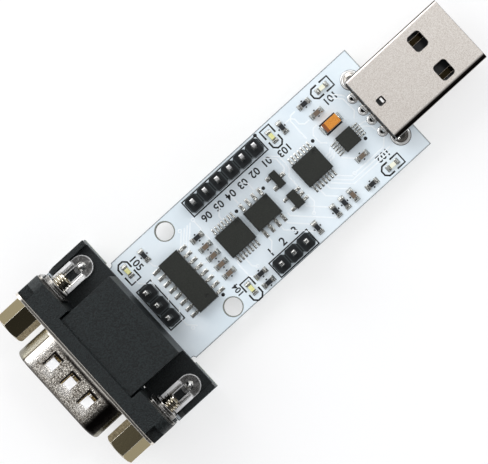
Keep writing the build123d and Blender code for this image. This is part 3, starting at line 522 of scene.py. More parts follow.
# %% [markdown]
# ## Moulded plastics
#
# The connector housings are glass-filled polyester, slate black with the fine matt of a spark-eroded mould.
# The packages are a filled epoxy, greyer and a little rough, and darker within a fifth of a millimetre of
# their edges. The insulator in the plug is a smoother black nylon. All are plain dark colours. What tells
# them apart is the size and depth of their grain, so each gets its own noise and not a shared one.

# %% Housings, packages and the plug's insulator
housing_black = new_material("glass_filled_polyester", "#1a2020", 0.46, Specular_IOR_Level=0.38)
eroded = grain(housing_black, 0.2, detail=3.0)
roughen(housing_black, eroded, 0.09, edge_mm=0.12)
shift_colour(housing_black, eroded, "#0c1011", "#1c2425", 0.42, 0.58)
finish_nodes(housing_black, "serial_housing", "serial_insulator")

package_epoxy = new_material("moulded_epoxy", "#272a28", 0.5)
filler = grain(package_epoxy, 0.16, detail=3.0)
roughen(package_epoxy, filler, 0.02, edge_mm=0.06)
package_tone = shift_colour(package_epoxy, filler, "#151812", "#242720")
paint(package_epoxy, layered(package_epoxy, package_tone, (near_edges(package_epoxy, 0.22), "#0b0d0a")))
package_nodes = [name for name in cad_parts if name.endswith("_body") and name != "tantalum_body"]
finish_nodes(package_epoxy, *package_nodes)

nylon_colour = "#16181a"
strip_nylon = new_material("black_nylon", nylon_colour, 0.34)
roughen(strip_nylon, grain(strip_nylon, 0.4), 0.012, edge_mm=0.12)
finish_nodes(strip_nylon, "usb_insulator")

# %% [markdown]
# ## Links of the pin strips
#
# A pin strip is a chain of octagons that can be snapped apart at every pitch of 2.54 mm. The notch between
# two links is painted as a black line of shade between shoulders painted paler as highlights, and the edges
# are painted paler as highlights too. Ping-pong folds the place along the strip into the distance from the
# nearest notch, so one pattern serves a strip of any length, from where that strip starts.

# %% Nylon with painted shade between the links and painted highlights on its edges
header_pitch = 2.54
header_strips = {"long_header_strip": "X", "side_header_strip": "X", "cross_header_strip": "Y"}
for strip, axis in header_strips.items():
    linked_nylon = new_material("nylon_of_" + strip, nylon_colour, 0.3)
    roughen(linked_nylon, grain(linked_nylon, 0.4), 0.012, edge_mm=0.12)
    place = add_node(linked_nylon, "ShaderNodeTexCoord")
    axes = add_node(linked_nylon, "ShaderNodeSeparateXYZ", {"Vector": place.outputs["Object"]})
    strip_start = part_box(strip)[0]["XYZ".index(axis)]
    from_start = {0: axes.outputs[axis], 1: strip_start}
    along_strip = add_node(linked_nylon, "ShaderNodeMath", from_start, operation="SUBTRACT")
    half_link = {0: along_strip.outputs[0], 1: header_pitch / 2 * mm}
    from_notch = add_node(linked_nylon, "ShaderNodeMath", half_link, operation="PINGPONG").outputs[0]
    # painted highlights on the edges and shoulders, and a black line of painted shade at each notch
    link_layers = [(near_edges(linked_nylon, 0.2), "#50585a")]
    for far, near, tone in ((0.32, 0.2, "#3d4446"), (0.12, 0.06, "#050606")):
        limits = {"Value": from_notch, 1: far * mm, 2: near * mm}
        link_layers.append((add_node(linked_nylon, "ShaderNodeMapRange", limits).outputs[0], tone))
    paint(linked_nylon, layered(linked_nylon, "#1b1e20", *link_layers))
    finish_nodes(linked_nylon, strip)

# %% [markdown]
# ## Small coloured parts
#
# The tantalum capacitor is orange epoxy with a darker stripe printed at its positive end. Resistors carry a
# dark glaze over alumina, capacitors are bare fired ceramic whose brown varies from part to part, and the
# LEDs are a pale laminate under a block of cloudy resin, milky in two of them and yellow in the others. The
# stripe could be a thin mesh, but as a zone from the body's own end it stays right when the body changes.

# %% Tantalum capacitor
tantalum_resin = new_material("orange_moulded_resin", "#d9861f", 0.4)
tantalum_grain = grain(tantalum_resin, 0.14, detail=3.0)
roughen(tantalum_resin, tantalum_grain, 0.02, edge_mm=0.06)
tantalum_tone = shift_colour(tantalum_resin, tantalum_grain, "#c9781a", "#e59a33")
stripe_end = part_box("tantalum_body")[0][0] / mm + 0.5
past_stripe = along(tantalum_resin, "X", stripe_end, stripe_end + 0.06)
paint(tantalum_resin, layered(tantalum_resin, "#8c4a12", (past_stripe, tantalum_tone)))
finish_nodes(tantalum_resin, "tantalum_body")

# %% Glaze and ceramic
resistor_glaze = new_material("glazed_resistor", "#26282a", 0.3)
glaze_grain = grain(resistor_glaze, 0.12)
roughen(resistor_glaze, glaze_grain, 0.01)
shift_colour(resistor_glaze, glaze_grain, "#1e2022", "#313437")
finish_nodes(resistor_glaze, "resistor_bodies")

capacitor_ceramic = new_material("fired_capacitor_ceramic", "#6f5c4e", 0.5)
fired_grain = grain(capacitor_ceramic, 0.1, detail=3.0)
roughen(capacitor_ceramic, fired_grain, 0.015)
fired_tone = shift_colour(capacitor_ceramic, fired_grain, "#64503f", "#7c6856")
batch = grain(capacitor_ceramic, 2.4, detail=0.0)  # wider than a part, so whole parts differ
paint(capacitor_ceramic, layered(capacitor_ceramic, fired_tone, (batch, "#6b6457")))
finish_nodes(capacitor_ceramic, "capacitor_bodies")

# %% LED bases and lenses
led_plate = new_material("led_base_laminate", "#e6e4d2", 0.5)
led_weave = grain(led_plate, 0.08)
roughen(led_plate, led_weave, 0.008)
shift_colour(led_plate, led_weave, "#dcd9c4", "#efeddd")
led_kinds = ("usb", "power", "logic", "bus", "serial")
finish_nodes(led_plate, *[f"led_{kind}_base" for kind in led_kinds])
led_resins = {
    "milky_led_resin": ("#f3f3d6", "#fdfdf0", ("led_usb_lens", "led_power_lens")),
    "yellow_led_resin": ("#e2e08c", "#f4f2b8", ("led_logic_lens", "led_bus_lens", "led_serial_lens")),
}
for name, (deep, pale, lenses) in led_resins.items():
    resin = new_material(name, pale, 0.25, Coat_Weight=0.3)
    cloud = grain(resin, 0.45)
    roughen(resin, cloud, 0.02)
    shift_colour(resin, cloud, deep, pale)
    finish_nodes(resin, *lenses)

# %% [markdown]
# ## Small tools for modelling
#
# Every new piece starts as a primitive, is shaped with the same operators that the menus call, and ends as a
# mesh that holds its own place. A few helpers keep that short: select pieces, keep a finished piece, and set
# copies of one modelled unit, each with its own mesh, where the board has them.

# %% Keep, copy and join pieces


def clear_selection():
    """Leave nothing selected or in edit mode."""
    if bpy.context.mode != "OBJECT":
        bpy.ops.object.mode_set(mode="OBJECT")
    bpy.ops.object.select_all(action="DESELECT")


def select_only(*pieces):
    """Select these pieces and no others, with the first one active."""
    clear_selection()
    for piece in pieces:
        piece.select_set(True)
    bpy.context.view_layer.objects.active = pieces[0]


def keep_piece(piece, name, material, smooth_angle=None):
    """Put a piece's place into its mesh, name it, finish it and let it ride."""
    select_only(piece)
    bpy.ops.object.transform_apply(location=True, rotation=True, scale=True)
    # A filled cut can leave two faces on the same corners, and validate takes one of them out.
    if piece.data.validate():
        print(name, "had doubled faces")
    if smooth_angle:
        bpy.ops.object.shade_smooth_by_angle(angle=math.radians(smooth_angle))
    piece.name = name
    piece.data.name = name
    piece.data.materials.clear()
    piece.data.materials.append(material)
    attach(piece, "root")
    return piece


def set_copies(unit, places, name, material, smooth_angle=None):
    """Copy a unit modelled at the origin to each (point, turn, stretch), then join the copies."""
    copies = []
    for point, turn, stretch in places:
        copy = unit.copy()
        copy.data = unit.data.copy()
        turn_and_stretch = Matrix.Rotation(turn, 4, "Z") @ Matrix.Diagonal((*stretch, 1.0))
        copy.data.transform(Matrix.Translation(point) @ turn_and_stretch)
        bpy.context.scene.collection.objects.link(copy)
        copies.append(copy)
    bpy.data.objects.remove(unit)
    select_only(*copies)
    if len(copies) > 1:
        bpy.ops.object.join()
    made = keep_piece(copies[0], name, material, smooth_angle)
    print(name, "from", len(places), "copies,", len(made.data.polygons), "faces")
    return made


upright = (0, (1, 1, 1))  # the turn and stretch of a copy that stands as it was modelled
clear_selection()
print("nothing is selected:", not bpy.context.selected_objects)

# %% [markdown]
# ## Small tools for shapes
#
# Edges are picked by their place, and doubled corners are welded. A profile is drawn as by hand: one corner
# is extruded from point to point. Spun about an axis it gives what a lathe would, and the screw modifier
# will turn it to a thread. The last tool reads the separate bodies of a loaded piece, so new parts find
# their place.

# %% Pick, weld, draw, turn and measure


def select_edges(test):
    """In edit mode, select just the edges whose two ends pass a test."""
    bpy.ops.mesh.select_mode(type="EDGE")
    bpy.ops.mesh.select_all(action="DESELECT")
    shape = bmesh.from_edit_mesh(bpy.context.object.data)
    for edge in shape.edges:
        edge.select_set(all(test(vertex.co) for vertex in edge.verts))
    bmesh.update_edit_mesh(bpy.context.object.data)


def weld(distance_mm):
    """In edit mode, merge all corners that are this close."""
    bpy.ops.mesh.select_all(action="SELECT")
    bpy.ops.mesh.remove_doubles(threshold=distance_mm * mm)


def draw_profile(points):
    """A chain of edges through points in mm, left in edit mode."""
    clear_selection()
    bpy.ops.mesh.primitive_plane_add(size=0.1 * mm)
    bpy.ops.object.mode_set(mode="EDIT")
    bpy.ops.mesh.select_mode(type="VERT")
    bpy.ops.mesh.select_all(action="SELECT")
    bpy.ops.mesh.merge(type="CENTER")
    bpy.ops.transform.translate(value=[v * mm for v in points[0]])
    for before, after in zip(points, points[1:]):
        step = [(b - a) * mm for a, b in zip(before, after)]
        bpy.ops.mesh.extrude_region_move(TRANSFORM_OT_translate={"value": step})


def turned(profile, steps=24):
    """Solid of revolution about Z from (radius, height) points in mm, as on a lathe."""
    draw_profile([(radius, 0, height) for radius, height in profile])
    bpy.ops.mesh.select_all(action="SELECT")
    bpy.ops.mesh.spin(steps=steps, angle=2 * math.pi, center=(0, 0, 0), axis=(0, 0, 1))
    weld(0.001)
    bpy.ops.mesh.normals_make_consistent(inside=False)
    bpy.ops.object.mode_set(mode="OBJECT")
    return bpy.context.object


def loose_boxes(name):
    """Lowest and highest corners of the separate bodies in one loaded piece."""
    shape = bmesh.new()
    shape.from_mesh(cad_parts[name].data)
    bmesh.ops.remove_doubles(shape, verts=shape.verts, dist=0.000001)
    boxes = []
    waiting = set(shape.verts)
    while waiting:
        body = []
        found = [waiting.pop()]
        while found:
            vertex = found.pop()
            body.append(vertex.co.copy())
            for edge in vertex.link_edges:
                other = edge.other_vert(vertex)
                if other in waiting:
                    waiting.remove(other)
                    found.append(other)
        boxes.append(tuple(Vector([pick(v[i] for v in body) for i in range(3)]) for pick in (min, max)))
    shape.free()
    return boxes


print("the serial connector has", len(loose_boxes("serial_pins")), "separate pins")

# %% [markdown]
# ## Solder at the chip parts
#
# A reflowed chip sits in a small concave fillet of solder at each end. Blobs could be sculpted one by one,
# but solder is alike at every chip. So one wedge is modelled: a block on its pad whose outer upper edge is
# beveled with a hollow profile. It is copied to both ends of every chip, and the places are read from the
# loaded bodies, so nothing is measured twice.

# %% One hollow solder wedge
wedge_length, wedge_width, wedge_height = 0.56, 1.0, 0.34
wedge_reach = 0.18  # mm from the chip's end to the middle of its wedge
wedge_hollow = 0.29  # mm of the outer upper edge that is hollowed
clear_selection()
bpy.ops.mesh.primitive_cube_add(size=1.0)
wedge = bpy.context.object
wedge.dimensions = (wedge_length * mm, wedge_width * mm, wedge_height * mm)
wedge.location = (wedge_reach * mm, 0, wedge_height / 2 * mm)
bpy.ops.object.transform_apply(location=True, rotation=True, scale=True)
bpy.ops.object.mode_set(mode="EDIT")
select_edges(lambda co: co.x > 0.4 * mm and co.z > 0.3 * mm)
bpy.ops.mesh.bevel(offset=wedge_hollow * mm, segments=5, profile=0.18, affect="EDGES", clamp_overlap=False)
select_edges(lambda co: abs(abs(co.y) - wedge_width / 2 * mm) < 0.001 * mm and co.z > 0.02 * mm)
bpy.ops.mesh.bevel(offset=0.08 * mm, segments=2, affect="EDGES")
bpy.ops.object.mode_set(mode="OBJECT")
print("one solder wedge has", len(wedge.data.polygons), "faces")

# %% Wedges at every chip part
chip_nodes = ["resistor_bodies", "capacitor_bodies"] + [f"led_{kind}_base" for kind in led_kinds]
chip_boxes = [box for node in chip_nodes for box in loose_boxes(node)]
thick_chip = 0.6  # mm, above which the solder climbs higher
wedge_places = []
for low, high in chip_boxes:
    middle = (low + high) / 2
    along_x = high.x - low.x > high.y - low.y
    half = max(high.x - low.x, high.y - low.y) / 2
    tall = 1.3 if high.z - low.z > thick_chip * mm else 1.0
    for quarter in (0, 2):
        turn = (quarter + (0 if along_x else 1)) * math.pi / 2
        outward = Vector((math.cos(turn), math.sin(turn), 0))
        wedge_places.append((Vector((middle.x, middle.y, board_top)) + outward * half, turn, (1, 1, tall)))
tantalum_low, tantalum_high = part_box("tantalum_body")
tantalum_y = (tantalum_low[1] + tantalum_high[1]) / 2
tantalum_width = (tantalum_high[1] - tantalum_low[1]) / mm - 0.1
for x, turn in ((tantalum_high[0], 0), (tantalum_low[0], math.pi)):
    wedge_places.append((Vector((x, tantalum_y, board_top)), turn, (1.1, tantalum_width, 2.4)))
set_copies(wedge, wedge_places, "chip_solder", solder_tin, 40)

# %% [markdown]
# ## Pads and solder under the gull-wing leads
#
# Each lead stands on a tinned copper pad that is a little wider and longer than its foot, with solder drawn
# up around it. Pads could be painted on the board, but then no edge would catch light. So a flat bar with
# rounded edges is modelled once and stretched to each lead's own size.

# %% One pad with a rounded rim
pad_round = 0.36
clear_selection()
bpy.ops.mesh.primitive_cube_add(size=1.0 * mm)
pad = bpy.context.object
bpy.ops.object.mode_set(mode="EDIT")
select_edges(lambda co: co.z > 0)
bpy.ops.mesh.bevel(offset=pad_round * mm, segments=4, affect="EDGES")
bpy.ops.object.mode_set(mode="OBJECT")
print("one pad has", len(pad.data.polygons), "faces")

# %% Pads at every lead
foot_share = 0.5  # of a lead's reach, the part that lies on its pad
pad_height = 0.26
pad_lift = 0.02
pad_places = []
pad_rules = {  # width, and what the pad adds to the foot on the inner and outer side, in mm
    "serial_driver": (0.62, 0.3, 0.45),
    "bus_driver": (0.62, 0.3, 0.45),
    "left_buffer": (0.38, 0.2, 0.3),
    "right_buffer": (0.38, 0.2, 0.3),
    "usb_bridge": (0.3, 0.15, 0.3),
    "voltage_regulator": (0.75, 0.25, 0.3),
    "logic_gate": (0.55, 0.25, 0.3),
}
for label, (width, inner, outer) in pad_rules.items():
    body_low, body_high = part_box(f"{label}_body")
    body_middle = (Vector(body_low) + Vector(body_high)) / 2
    for low, high in loose_boxes(f"{label}_leads"):
        middle = (low + high) / 2
        across = high.x - low.x > high.y - low.y
        reach = max(high.x - low.x, high.y - low.y)
        axis = 0 if across else 1
        outward = 1 if middle[axis] > body_middle[axis] else -1
        foot = reach * foot_share
        length = foot + (inner + outer) * mm
        centre = Vector((middle.x, middle.y, board_top + pad_lift * mm))
        centre[axis] += outward * (reach / 2 - foot / 2 + (outer - inner) / 2 * mm)
        turn = 0 if across else math.pi / 2
        pad_places.append((centre, turn, (length / mm, width, pad_height)))
set_copies(pad, pad_places, "lead_pads", solder_tin, 40)

# %% [markdown]
# ## Solder at the through-hole tails
#
# A soldered tail stands in a ring of solder that climbs it. It is round, so a profile spun about its axis
# is quicker and truer than a shaped cone: out on the copper, up in a hollow curve and down into the hole.
# The USB tails show it on top, all the others below.

# %% Rings of solder on top of the board
ring = turned([(0.3, -0.3), (0.36, 0.02), (0.45, 0.1), (0.6, 0.13), (0.76, 0.08), (0.86, 0.0), (0.86, -0.02)])
contact_thickness = 0.25
tail_boxes = loose_boxes("usb_contacts")
usb_tail_x = min(low.x for low, high in tail_boxes) + contact_thickness / 2 * mm
ring_places = [(Vector((usb_tail_x, (low.y + high.y) / 2, board_top)), *upright) for low, high in tail_boxes]
set_copies(ring, ring_places, "usb_tail_solder", wetted_solder, 50)

leg_distance = 2.57
leg_offset = 5.85
leg_profile = [(0.0, -0.25), (0.7, -0.22), (1.0, -0.12), (1.12, 0.04)]  # up from the hole
leg_profile += [(1.3, 0.1), (1.5, 0.08), (1.66, 0.0), (1.66, -0.02)]  # and out on the copper
leg_places = [(spot(leg_distance, side * leg_offset), *upright) for side in (1, -1)]
set_copies(turned(leg_profile, 36), leg_places, "usb_leg_solder", wetted_solder, 50)

# %% Cones of solder under the board
cone_profile = [(0.0, -1.0), (0.36, -0.98), (0.4, -0.7), (0.52, -0.35)]  # down around the tail
cone_profile += [(0.78, -0.06), (0.92, 0.0), (0.92, 0.02)]  # and out on the copper
half_tail = 0.3  # of a serial pin, whose tail is at the far end of its box
tails = []
for header in ("long_header_pins", "side_header_pins", "cross_header_pins"):
    tails += [((low.x + high.x) / 2, low, high) for low, high in loose_boxes(header)]
tails += [(usb_tail_x, low, high) for low, high in tail_boxes]
tails += [(high.x - half_tail * mm, low, high) for low, high in loose_boxes("serial_pins")]
cone_places = [(Vector((x, (low.y + high.y) / 2, board_bottom)), *upright) for x, low, high in tails]
set_copies(turned(cone_profile, 20), cone_places, "tail_solder", wetted_solder, 50)

leg_dome = turned([(0.0, -0.8), (0.5, -0.76), (0.85, -0.5), (1.1, -0.16), (1.45, 0.0), (1.45, 0.02)], 32)
dome_places = [(Vector((place.x, place.y, board_bottom)), *upright) for place, turn, stretch in leg_places]
set_copies(leg_dome, dome_places, "usb_leg_solder_below", wetted_solder, 50)

# %% [markdown]
# ## Rims of the mounting holes
#
# The drill takes the mask back a little, so each hole is edged by a thin line of bare laminate, painted much
# darker than the board's cut edge as the shade in the hole. A zone could paint the line, but not the wall of
# the hole in the same colour. So the rim is a turned ring with a short lip on the board and a wall down
# through it.

# %% Mounting hole rims
hole_distance = 40.1
hole_offset = 8.0
# painted shade: the laminate in the holes is much darker than at the board's edge
shaded_laminate = new_material("shaded_laminate", "#7d8078", 0.6)
roughen(shaded_laminate, grain(shaded_laminate, 0.15), 0.01)
hole_rim = turned([(1.47, -1.6), (1.47, 0.0), (1.5, 0.012), (1.62, 0.012), (1.64, 0.0)], 48)
rim_places = [(spot(hole_distance, side * hole_offset), *upright) for side in (1, -1)]
set_copies(hole_rim, rim_places, "mounting_hole_rims", shaded_laminate, 30)

# %% [markdown]
# ## Copper tracks under the mask
#
# The tracks are 35 micrometres of copper under a film of ink, so they show only as soft ridges, a touch
# paler where the white ink lies on metal. A bump drawn from a picture would do it too, but a picture has a
# fixed sharpness, and a route is only a few numbers: straight runs with 45 degree corners, as a layout
# program draws it. The curve gets a round bevel and is flattened to a low ridge.

# %% Flat lines from routes


def flat_lines(name, routes, width, height, material, round_steps=2):
    """Lines on the board along routes of (distance, y) points in mm, this wide and high, as one mesh."""
    drawing = bpy.data.curves.new(name, "CURVE")
    drawing.dimensions = "3D"
    drawing.bevel_depth = width / 2 * mm
    drawing.bevel_resolution = round_steps
    drawing.use_fill_caps = True
    for route in routes:
        run = drawing.splines.new("POLY")
        closed = route[0] == route[-1]
        points = route[:-1] if closed else route
        run.points.add(len(points) - 1)
        run.use_cyclic_u = closed
        for point, (distance, y) in zip(run.points, points):
            place = spot(distance, y)
            point.co = (place.x, place.y, 0, 1)
    line = bpy.data.objects.new(name, drawing)
    bpy.context.scene.collection.objects.link(line)
    select_only(line)
    bpy.ops.object.convert(target="MESH")
    line = bpy.context.object
    line.scale = (1, 1, 2 * height / width)
    line.location.z = board_top
    made = keep_piece(line, name, material, 50)
    print(name, len(routes), "lines,", len(made.data.polygons), "faces")
    return made


track_ink = new_material("mask_over_copper", "#f6fcff", 0.3)
roughen(track_ink, grain(track_ink, ripple_size), 0.003)

# %% Routes of the tracks
tracks = [
    [(12.3, 8.1), (13.2, 8.1), (13.85, 7.45), (13.85, 3.7)],
    [(11.6, 5.6), (12.5, 5.6), (13.15, 6.2), (13.15, 7.2), (13.6, 7.75), (14.7, 7.75)],
    [(6.4, 6.3), (5.2, 5.1), (4.9, 4.6)],
    [(7.0, 6.1), (5.4, 4.5), (5.3, 1.9), (6.2, 1.0)],
    [(6.4, -0.35), (5.5, -0.35), (4.75, -0.9)],
    [(6.4, -0.85), (5.9, -0.85), (5.0, -1.75), (4.75, -2.9)],
    [(11.8, -2.2), (10.7, -3.3), (10.2, -3.9)],
    [(11.9, 1.0), (12.7, 1.8), (12.7, 3.4), (11.9, 4.2), (11.2, 4.2)],
    [(20.3, 5.9), (18.9, 4.5), (18.9, 2.2), (19.9, 1.2), (19.9, -1.1)],
    [(20.9, 6.0), (19.5, 4.6), (19.5, 2.7), (20.1, 2.1)],
    [(4.6, -4.2), (5.8, -5.4), (11.4, -5.4), (12.6, -5.4), (14.4, -3.6)],
    [(5.0, -6.0), (12.9, -6.0), (15.0, -3.9)],
    [(5.6, -6.6), (13.1, -6.6), (15.7, -4.0)],
    [(14.5, -7.0), (14.5, -6.4), (16.4, -4.5), (16.4, -3.6)],
    [(16.3, -7.0), (16.3, -6.3), (17.7, -4.9), (17.7, -3.6)],
    [(18.1, -7.0), (21.0, -4.1), (21.0, -3.6)],
    [(18.1, -8.5), (18.9, -8.5), (23.9, -3.5), (23.9, -2.9)],
    [(22.0, -7.0), (24.9, -4.1), (24.9, -3.3)],
    [(22.0, -8.6), (25.6, -5.0), (26.1, -4.5), (26.1, -3.3)],
    [(20.9, -5.7), (19.6, -4.4), (19.6, -2.9)],
    [(30.0, -5.8), (28.7, -4.5), (28.7, -3.3)],
    [(34.1, -7.1), (35.0, -6.2), (35.0, -3.4), (34.45, -2.9)],
    [(33.0, -5.9), (33.6, -5.3), (33.6, -3.4)],
    [(36.2, 3.8), (35.6, 4.4), (35.6, 6.2)],
    [(36.2, 1.85), (35.7, 2.35), (35.7, 3.4)],
    [(37.8, 0.0), (38.6, 0.0), (38.95, 0.3)],
    [(37.8, -1.85), (38.5, -1.85), (38.9, -1.6)],
    [(46.3, 4.1), (46.9, 3.5), (46.9, 2.9), (47.3, 2.5)],
    [(46.3, 0.2), (47.2, -0.7)],
    [(46.3, -2.3), (47.4, -3.4), (47.4, -5.2), (46.2, -6.4)],
    [(45.1, 6.6), (45.1, 5.2), (44.2, 4.3)],
    [(48.6, 6.3), (48.6, 4.6), (47.6, 3.6)],
    [(26.0, 6.1), (26.0, 5.4), (25.4, 4.8), (25.4, 3.4)],
    [(28.6, 6.1), (28.6, 3.4)],
    [(31.1, 6.1), (31.1, 5.1), (32.2, 4.0), (32.2, 3.2)],
]
pair_pitch = 0.5
bundle_pitch = 0.62
for step in range(3):
    shift = step * pair_pitch
    tracks.append([(13.45, -0.35 - shift), (12.6, -0.35 - shift), (12.0, 0.2 - shift)])
for step in range(4):
    shift = step * bundle_pitch
    tracks.append([(36.2 + shift, 6.3), (39.4 + shift * 0.5, 3.1 + shift * 0.5)])
flat_lines("mask_tracks", tracks, 0.24, 0.014, track_ink)

# %% [markdown]
# ## Black printing
#
# The outlines, pin-one dots and short dashes are screened epoxy ink, about 0.15 to 0.2 mm wide and a few
# hundredths high. A decal could carry them, but meshes stay sharp from every distance. The same line tool
# draws them, lower and sharper. Plain numbers stand where a user has to find a pin or a lamp.

# %% Printed outlines
ink = new_material("screened_epoxy_ink", "#0b0c0e", 0.5)
roughen(ink, grain(ink, 0.2), 0.004)
ink_height = 0.014
led_half_length = 1.88
led_half_width = 0.95
led_corner = 0.55
led_gap = 0.28
led_outlines = ((6.78, 7.99, 0), (6.78, -8.45, 0), (17.67, 7.54, 90), (36.08, -8.06, 90), (48.65, 7.08, -90))


def turned_route(route, distance, y, degrees):
    """A route drawn about the origin, with its first axis towards the plug, turned and set on the board."""
    cosine, sine = math.cos(math.radians(degrees)), math.sin(math.radians(degrees))
    return [(distance - (u * cosine - v * sine), y + u * sine + v * cosine) for u, v in route]


def frame_route(near, far, low, high):
    """Closed rectangle between two distances and two Y values."""
    return [(near, low), (far, low), (far, high), (near, high), (near, low)]


led_square_end = [
    (led_gap, led_half_width),
    (led_half_length, led_half_width),
    (led_half_length, -led_half_width),
    (led_gap, -led_half_width),
]
led_cut_end = [
    (-led_gap, led_half_width),
    (-led_half_length + led_corner, led_half_width),
    (-led_half_length, led_half_width - led_corner),
    (-led_half_length, led_corner - led_half_width),
    (-led_half_length + led_corner, -led_half_width),
    (-led_gap, -led_half_width),
]
header_outlines = ((19.45, 35.11, 6.53, 9.47), (23.46, 31.41, -9.72, -6.78), (46.9, 49.8, -4.15, 3.85))
printed = [turned_route(route, *place) for place in led_outlines for route in (led_square_end, led_cut_end)]
printed += [frame_route(*outline) for outline in header_outlines]
for side in (1, -1):
    y = tantalum_y / mm + side * (tantalum_width / 2 + 0.17)
    printed.append([(7.9, y), (11.1, y)])
flat_lines("printed_outlines", printed, 0.3, ink_height, ink, round_steps=1)

# %% Printed dashes beside the chips
dash_half = 0.13
dash_offset = 0.6
dashes = []
for low, high in chip_boxes[: -len(led_outlines)]:
    middle = (low + high) / 2
    lengthwise = high.x - low.x > high.y - low.y
    distance = (board_edge - middle.x) / mm
    y = middle.y / mm
    for aside in (dash_offset, -dash_offset):
        if lengthwise:
            dashes.append([(distance - dash_half, y + aside), (distance + dash_half, y + aside)])
        else:
            dashes.append([(distance + aside, y - dash_half), (distance + aside, y + dash_half)])
flat_lines("printed_dashes", dashes, 0.24, ink_height, ink, round_steps=1)

# %% [markdown]
# ## Dots, vias and numbers
#
# A dot marks the first lead of each package, and a via is a small plated hole under the mask, seen as a low
# ring. Both are turned from a profile. The numbers are text objects made into thin meshes, so that they hold
# their own shape and place.

# %% Printed dots and open vias
dot = turned([(0.0, 0.02), (0.24, 0.02), (0.29, 0.012), (0.3, 0.0)], 20)
dot_spots = ((19.47, 9.55), (7.0, -2.5), (13.37, 2.79), (29.64, 2.7), (24.1, 2.54), (40.0, -5.54))
dot_places = [(spot(*place), *upright) for place in dot_spots]
set_copies(dot, dot_places, "printed_dots", ink, 30)
via = turned([(0.16, -0.05), (0.17, 0.012), (0.2, 0.022), (0.3, 0.022), (0.33, 0.012), (0.34, 0.0)], 20)
via_spots = ((20.9, -5.7), (12.0, -5.4), (19.9, -1.5), (33.0, -5.9), (35.6, 6.3), (38.3, 6.4), (47.0, -6.2))
via_places = [(spot(*place), *upright) for place in via_spots]
set_copies(via, via_places, "mask_vias", track_ink, 40)

# %% Printed numbers


def print_number(text, distance, y, degrees, size):
    """One plain number in ink, standing on the board's top."""
    clear_selection()
    place = spot(distance, y, number_half_height)
    bpy.ops.object.text_add(location=place, rotation=(0, 0, math.radians(degrees)))
    number = bpy.context.object
    number.data.body = text
    number.data.size = size * mm
    number.data.align_x = "CENTER"
    number.data.align_y = "CENTER"
    number.data.extrude = number_half_height * mm
    number.data.offset = 0.035 * mm  # thickens the strokes
    number.data.resolution_u = 4
    bpy.ops.object.convert(target="MESH")
    return bpy.context.object


number_half_height = 0.004
long_pin_distance = 33.65  # of the long header's last pin
side_pin_distance = 29.99  # of the side header's first pin
labels = [(f"0{6 - pin}", long_pin_distance - header_pitch * pin, 5.3, 180, 1.7) for pin in range(6)]
labels += [(str(pin + 1), side_pin_distance - header_pitch * pin, -5.75, 0, 1.9) for pin in range(3)]
labels += [
    ("101", 6.8, 5.95, 180, 1.7),
    ("102", 6.8, -6.3, 180, 1.7),
    ("103", 17.6, 4.75, 180, 1.7),
    ("104", 37.75, -6.6, 90, 1.4),
    ("105", 46.8, 7.3, -90, 1.7),
]
numbers = [print_number(*label) for label in labels]
select_only(*numbers)
bpy.ops.object.join()
printed_numbers = keep_piece(numbers[0], "printed_numbers", ink)
print(len(labels), "numbers,", len(printed_numbers.data.polygons), "faces")

# %% [markdown]
# ## Jack screws with their threads
#
# The loaded jack screws have the right hexagon, bore and stud, but the stud is plain, and its thread shows
# behind the brackets. Rings or a bump could hint at a thread, but its outline would stay straight. So the
# loaded shape is copied, its edges are broken with a bevel as a bar lathe does, the stud is cut off behind
# the bracket, and a real helical thread takes its place.

# %% Helical thread with the screw modifier
thread_pitch = 0.5
thread_steps = 28  # faces in one turn


def thread(name, profile, start, centre, turns):
    """Helix about X of a (along, radius) tooth in mm, which repeats at the pitch."""
    draw_profile([(step, radius, 0) for step, radius in profile])
    rod = bpy.context.object
    bpy.ops.object.mode_set(mode="OBJECT")
    screw = rod.modifiers.new("helix", "SCREW")
    screw.axis = "X"
    screw.screw_offset = thread_pitch * mm
    screw.iterations = turns
    screw.steps = thread_steps
    screw.render_steps = thread_steps
    screw.use_merge_vertices = True
    screw.merge_threshold = 0.000001
    bpy.ops.object.modifier_apply(modifier="helix")
    rod.location = (start * mm, centre.y, centre.z)
    bpy.ops.object.transform_apply(location=True, rotation=False, scale=False)
    bpy.ops.object.mode_set(mode="EDIT")
    weld(0.002)
    bpy.ops.object.mode_set(mode="OBJECT")
    rod.name = name
    return rod


def cut_square(piece, x, keep_below):
    """Cut a piece square across X, at a place in mm, and close it."""
    select_only(piece)
    bpy.ops.object.mode_set(mode="EDIT")
    bpy.ops.mesh.select_all(action="SELECT")
    sides = {"clear_outer": keep_below, "clear_inner": not keep_below}
    bpy.ops.mesh.bisect(plane_co=(x * mm, 0, 0), plane_no=(1, 0, 0), use_fill=True, **sides)
    bpy.ops.object.mode_set(mode="OBJECT")


# %% Copy the jack screws and break their edges
bracket_sheet = 0.5
thread_start = leg_x + bracket_sheet - 0.1  # just inside the bracket's leg, so no gap shows
loaded_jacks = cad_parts["jack_screws"]
jacks = loaded_jacks.copy()
jacks.data = loaded_jacks.data.copy()
bpy.context.scene.collection.objects.link(jacks)
select_only(jacks)
bpy.ops.object.mode_set(mode="EDIT")
weld(0.002)
bpy.ops.object.mode_set(mode="OBJECT")
cut_square(jacks, thread_start, True)
bpy.ops.mesh.customdata_custom_splitnormals_clear()
edge_break = jacks.modifiers.new("broken_edges", "BEVEL")
edge_break.width = 0.12 * mm
edge_break.segments = 2
edge_break.limit_method = "ANGLE"
edge_break.angle_limit = math.radians(35)
bpy.ops.object.modifier_apply(modifier="broken_edges")
print("jack screws without threads have", len(jacks.data.polygons), "faces")

